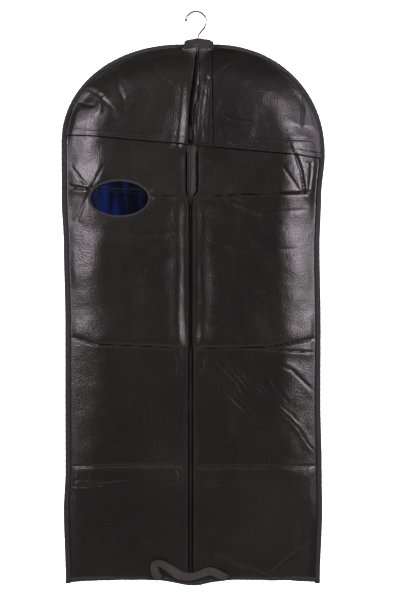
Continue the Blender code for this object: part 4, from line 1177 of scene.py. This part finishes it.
# ---------------------------------------------------------------- slider and pull
def rounded_plate(outline, y0, y1, name, mat, bevel=0.0003):
    n = len(outline)
    verts = [(x, y0, z) for x, z in outline] + [(x, y1, z) for x, z in outline]
    faces = [tuple(range(n)), tuple(range(2 * n - 1, n - 1, -1))]
    faces += [((i + 1) % n, i, n + i, n + (i + 1) % n) for i in range(n)]
    o = add_mesh(name, verts, faces, mat, False)
    b = o.modifiers.new("rounded", "BEVEL")
    b.width, b.segments, b.limit_method = bevel, 2, "ANGLE"
    b.angle_limit = math.radians(40)
    return o


SY = zip_y(SLIDER_Z)


def slider_outline():
    """Heart-shaped plate: broad shoulders where the two coils enter, narrow tail."""
    pts = []
    for i in range(28):
        a = 2 * math.pi * i / 28
        w = 0.0041 if math.sin(a) > 0 else 0.0036
        pts.append((ZIP_X + w * math.copysign(abs(math.cos(a)) ** 0.55, math.cos(a)), SLIDER_Z + 0.0063 * math.copysign(abs(math.sin(a)) ** 0.6, math.sin(a))))
    return pts


plate = rounded_plate(slider_outline(), SY - 0.0026, SY - 0.0014, "zip_slider_front_plate", BLACK_METAL)
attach(plate, "zip_slider")
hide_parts("zip_slider")
rear = rounded_plate(slider_outline(), SY + 0.0034, SY + 0.0045, "zip_slider_back_plate", BLACK_METAL)
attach(rear, "zip_slider")
post = rounded_plate([(ZIP_X - 0.00024, SLIDER_Z + 0.0016), (ZIP_X - 0.00024, SLIDER_Z + 0.0058), (ZIP_X + 0.00024, SLIDER_Z + 0.0058), (ZIP_X + 0.00024, SLIDER_Z + 0.0016)],
                     SY - 0.0016, SY + 0.0036, "zip_slider_post", BLACK_METAL, 0.00008)
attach(post, "zip_slider")


def tube(name, points, radius, mat, sides=10, taper=None):
    P = np.array(points, float)
    d = np.gradient(P, axis=0)
    d /= np.linalg.norm(d, axis=1)[:, None]
    up = np.array([0.0, 1.0, 0.0]) if abs(d[0][1]) < 0.9 else np.array([1.0, 0, 0])
    verts, faces = [], []
    prev = None
    for i, (p, t) in enumerate(zip(P, d)):
        a = up - t * (up @ t) if prev is None else prev - t * (prev @ t)
        a /= np.linalg.norm(a)
        prev = a
        b = np.cross(t, a)
        r = radius if taper is None else radius * taper[i]
        for k in range(sides):
            g = 2 * math.pi * k / sides
            verts.append(p + r * (a * math.cos(g) + b * math.sin(g)))
    for i in range(len(P) - 1):
        for k in range(sides):
            m = (k + 1) % sides
            faces.append((i * sides + k, i * sides + m, (i + 1) * sides + m, (i + 1) * sides + k))
    faces.append(tuple(range(sides - 1, -1, -1)))
    faces.append(tuple((len(P) - 1) * sides + k for k in range(sides)))
    return add_mesh(name, verts, faces, mat, True, 50)


lug = []
for i in range(13):
    a = math.pi * i / 12
    lug.append((ZIP_X, SY - 0.0020 - 0.0046 * math.sin(a) ** 0.8, SLIDER_Z - 0.0029 * math.cos(a)))
o = tube("zip_slider_lug", lug, 0.0006, BLACK_METAL, 8)
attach(o, "zip_slider")

PY = SY - 0.0048
pull_loop = [(ZIP_X + 0.0019 * math.sin(a), PY, SLIDER_Z - 0.0028 + 0.0028 * math.cos(a)) for a in np.linspace(-math.pi * 0.80, math.pi * 0.80, 25)]
o = tube("zip_pull_ring", pull_loop, 0.0005, BLACK_METAL, 8)
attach(o, "zip_pull")
tab = []
for i in range(9):
    a = math.pi * i / 8
    tab.append((ZIP_X + 0.0026 * math.cos(a), SLIDER_Z - 0.0244 - 0.0026 * math.sin(a)))
tab = [(ZIP_X - 0.0017, SLIDER_Z - 0.0046), (ZIP_X + 0.0017, SLIDER_Z - 0.0046)][::-1] + [(x, z) for x, z in tab][::-1][::-1]
tab = [(ZIP_X - 0.0015, SLIDER_Z - 0.0044), (ZIP_X - 0.0026, SLIDER_Z - 0.0090)] + [(ZIP_X - 0.0026 * math.cos(math.pi * i / 8), SLIDER_Z - 0.0244 - 0.0026 * math.sin(math.pi * i / 8)) for i in range(9)] + [(ZIP_X + 0.0026, SLIDER_Z - 0.0090), (ZIP_X + 0.0015, SLIDER_Z - 0.0044)]
o = rounded_plate(tab, PY - 0.0006, PY + 0.0006, "zip_pull_tab", BLACK_METAL, 0.00025)
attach(o, "zip_pull")
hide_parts("zip_pull")

for node in ("zip_top_stop", "zip_bottom_stop"):
    lo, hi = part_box(node)
    cx, cy, cz = [(a + b) / 2 for a, b in zip(lo, hi)]
    hx, hz = (hi[0] - lo[0]) / 2, (hi[2] - lo[2]) / 2
    out = [(cx + hx * math.copysign(abs(math.cos(a)) ** 0.5, math.cos(a)), cz + hz * math.copysign(abs(math.sin(a)) ** 0.5, math.sin(a))) for a in np.linspace(0, 2 * math.pi, 24, endpoint=False)]
    o = rounded_plate(out, lo[1], hi[1], node + "_crimped", BLACK_METAL, 0.0004)
    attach(o, UP if node == "zip_top_stop" else LOW)
    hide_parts(node)

# ---------------------------------------------------------------- hook, ferrule and hanger
cz = HOOK_WIRE - HOOK_R
path = [(HOOK_R * math.cos(math.radians(a)), cz + HOOK_R * math.sin(math.radians(a))) for a in np.linspace(172, -40, 70)]
ax, az = path[-1]
corner = (STEM_X, az - (ax - STEM_X) * math.tan(math.radians(50)))
low = (STEM_X, corner[1] - 0.008)
into = (lerp(corner[0], ax, 0.42), lerp(corner[1], az, 0.42))
path += [(lerp(ax, into[0], t), lerp(az, into[1], t)) for t in (0.33, 0.66)]
for i in range(17):
    t = i / 16
    path.append(((1 - t) ** 2 * into[0] + 2 * t * (1 - t) * corner[0] + t * t * low[0], (1 - t) ** 2 * into[1] + 2 * t * (1 - t) * corner[1] + t * t * low[1]))
path += [(STEM_X, z) for z in (-0.070, -0.080, -0.095, -0.108)]
o = tube("hanger_hook_wire", [(x, 0.0, z) for x, z in path], HOOK_WIRE, CHROME, 18)
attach(o, "hanger_hook")
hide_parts("hanger_hook")
bx, bz = path[0]
ball = []
for i in range(17):
    a = math.pi * i / 16
    r = 0.0034 * math.sin(a)
    ball.append((r, -0.0034 * math.cos(a)))
verts, faces = [], []
tx, tz = path[0][0] - path[1][0], path[0][1] - path[1][1]
L = math.hypot(tx, tz)
tx, tz = tx / L, tz / L
for r, h in ball:
    for k in range(20):
        g = 2 * math.pi * k / 20
        rr = max(r, 0.00004)
        verts.append((bx + tx * h - tz * rr * math.cos(g), rr * math.sin(g), bz + tz * h + tx * rr * math.cos(g)))
for i in range(16):
    for k in range(20):
        m = (k + 1) % 20
        faces.append((i * 20 + k, i * 20 + m, (i + 1) * 20 + m, (i + 1) * 20 + k))
faces.append(tuple(range(19, -1, -1)))
faces.append(tuple(16 * 20 + k for k in range(20)))
o = add_mesh("hook_ball_tip", verts, faces, CHROME, True, 60)
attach(o, "hanger_hook")

for node, mat in (("hook_ferrule", CHROME), ("hanger_body", WOOD)):
    o = frame["nodes"][node]
    if not hasattr(o, "material_slots"):
        o = bpy.data.objects[o if isinstance(o, str) else node]
    if not o.material_slots:
        o.data.materials.append(mat)
    for s in o.material_slots:
        s.material = mat

# ---------------------------------------------------------------- carry strap
STRAP = ((-0.0839, -1.3096), (-0.0931, -1.2972), (-0.0966, -1.2788), (-0.0828, -1.2742), (-0.0621, -1.2857), (-0.0368, -1.3018), (-0.0115, -1.3055), (0.0115, -1.2983), (0.0322, -1.2926), (0.0529, -1.2995), (0.0644, -1.3050), (0.0702, -1.3101))
fine = []
for k in range(len(STRAP) - 1):
    p0, p1 = STRAP[max(k - 1, 0)], STRAP[k]
    p2, p3 = STRAP[k + 1], STRAP[min(k + 2, len(STRAP) - 1)]
    for i in range(8):
        t = i / 8
        fine.append([0.5 * (2 * b + (c - a) * t + (2 * a - 5 * b + 4 * c - d2) * t * t + (3 * b - a - 3 * c + d2) * t ** 3) for a, b, c, d2 in zip(p0, p1, p2, p3)])
fine.append(list(STRAP[-1]))
F = np.array(fine)
d = np.gradient(F, axis=0)
d /= np.linalg.norm(d, axis=1)[:, None]
N = np.stack([-d[:, 1], d[:, 0]], 1)
s = np.linspace(0, 1, len(F))
width = 0.0092 + 0.0012 * np.sin(s * 17 + 0.6) * np.sin(np.pi * s)
calm = 1 - np.exp(-(((F[:, 0] + 0.018) / 0.024) ** 4))   # flat under the zip's pull and over the dip of the hem
tilt = 0.0020 * np.sin(s * 9.0) * np.sin(np.pi * s) * calm
verts, faces = [], []
across = (-1, -0.85, -0.5, 0, 0.5, 0.85, 1)
for layer in (0, 1):
    for i in range(len(F)):
        ends = float(smooth(min(s[i], 1 - s[i]) / 0.10)) * float(calm[i])
        out = 0.0006 + ends * (0.0012 + 0.0010 * math.sin(s[i] * 23 + 1))
        for c in across:
            groove = 0.0003 * (abs(c) == 0.85)
            y = HANDLE_Y - 0.0002 - out - tilt[i] * c + groove * (1 if layer == 0 else 0) + layer * 0.0015 + 0.0006 * math.sin(c * 2.5 + s[i] * 31) * ends
            verts.append((F[i, 0] + N[i, 0] * width[i] * c, y, F[i, 1] + N[i, 1] * width[i] * c))
m = len(across)
per = len(F) * m
for i in range(len(F) - 1):
    for k in range(m - 1):
        q = (i * m + k, i * m + k + 1, (i + 1) * m + k + 1, (i + 1) * m + k)
        faces.append(q)
        faces.append(tuple(per + v for v in reversed(q)))
    for k in (0, m - 1):
        q = (i * m + k, (i + 1) * m + k, per + (i + 1) * m + k, per + i * m + k)
        faces.append(q if k == 0 else tuple(reversed(q)))
for i in (0, len(F) - 1):
    for k in range(m - 1):
        q = (i * m + k, per + i * m + k, per + i * m + k + 1, i * m + k + 1)
        faces.append(q if i == 0 else tuple(reversed(q)))
o = add_mesh("carry_strap_webbing", verts, faces, WEB, True, 60)
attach(o, "carry_handle")
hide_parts("carry_handle")
paths = []
for c in (-0.82, 0.82):
    paths.append(np.array([(F[i, 0] + N[i, 0] * width[i] * c, HANDLE_Y - 0.0006 - 0.0006 - float(smooth(min(s[i], 1 - s[i]) / 0.10)) * float(calm[i]) * (0.0012 + 0.0010 * math.sin(s[i] * 23 + 1)) - tilt[i] * c - 0.0006 * math.sin(c * 2.5 + s[i] * 31) * 0 + 0.0001, F[i, 1] + N[i, 1] * width[i] * c) for i in range(2, len(F) - 2)]))
o = stitch_mesh("stitches_carry_strap", paths, THREAD, 0.0026, 0.0038, 0.00026)
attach(o, "carry_handle")

# ---------------------------------------------------------------- camera, light, floor and backdrop
scene = bpy.context.scene
scene.view_settings.view_transform = "Standard"
scene.view_settings.gamma = 0.82
cam_data = bpy.data.cameras.new("camera")
cam_data.lens = 85
cam_data.sensor_width = 36
cam = bpy.data.objects.new("camera", cam_data)
cam.location = (0.0092, -3.2583 - 0.015, -0.6647)
cam.rotation_euler = (math.pi / 2, 0, 0)
scene.collection.objects.link(cam)
scene.camera = cam


def plain(name, colour, emit):
    m, t, bsdf = nodes_of(name)
    bsdf.inputs["Base Color"].default_value = (*colour, 1)
    bsdf.inputs["Roughness"].default_value = 0.9
    bsdf.inputs["Emission Color"].default_value = (*colour, 1)
    bsdf.inputs["Emission Strength"].default_value = emit
    return m


prof = [(-11.0, -2.60), (-3.0, -2.60), (1.2, -2.60), (6.0, -2.60)]
for i in range(1, 17):
    a = math.pi / 2 * i / 16
    prof.append((6.0 + 2.0 * math.sin(a), -2.60 + 2.0 * (1 - math.cos(a))))
prof.append((8.0, 9.0))
verts = [(x, y, z) for x in (-12.0, 12.0) for y, z in prof]
k = len(prof)
faces = [(i, i + 1, k + i + 1, k + i) for i in range(k - 1)]
mesh = bpy.data.meshes.new("studio_sweep")
mesh.from_pydata(verts, [], faces)
mesh.shade_smooth()
mesh.materials.append(plain("pale_paper_floor", (0.80, 0.80, 0.80), 0.05))
mesh.materials.append(plain("pale_paper_wall", (0.95, 0.95, 0.95), 0.95))
for f in mesh.polygons:
    f.material_index = 1 if f.center.y > 1.3 else 0
sweep_obj = bpy.data.objects.new("studio_sweep", mesh)
scene.collection.objects.link(sweep_obj)

world = bpy.data.worlds.new("studio")
scene.world = world
world.use_nodes = True
world.node_tree.nodes["Background"].inputs["Color"].default_value = (0.92, 0.94, 1.0, 1)
world.node_tree.nodes["Background"].inputs["Strength"].default_value = 0.22


def area(name, at, to, size, power, colour=(1, 1, 1)):
    l = bpy.data.lights.new(name, "AREA")
    l.shape = "RECTANGLE"
    l.size, l.size_y = size
    l.energy = power
    l.color = colour
    o = bpy.data.objects.new(name, l)
    o.location = at
    o.rotation_mode = "QUATERNION"
    o.rotation_quaternion = (Vector(to) - Vector(at)).to_track_quat("-Z", "Y")
    scene.collection.objects.link(o)


area("left_softbox", (-2.1, -1.55, 0.20), (0, 0, -0.25), (0.95, 1.2), 112, (1.0, 0.905, 0.97))
area("right_softbox", (2.1, -1.55, 0.00), (0, 0, -0.35), (0.95, 1.3), 122, (1.0, 0.905, 0.97))
area("top_softbox", (0.0, -1.6, 1.7), (0, 0, -0.4), (1.8, 0.7), 5, (1.0, 1.0, 1.0))
area("backdrop_light", (0.0, 3.2, 2.4), (0, 8.0, -0.6), (4.0, 1.0), 60, (1.0, 1.0, 1.0))
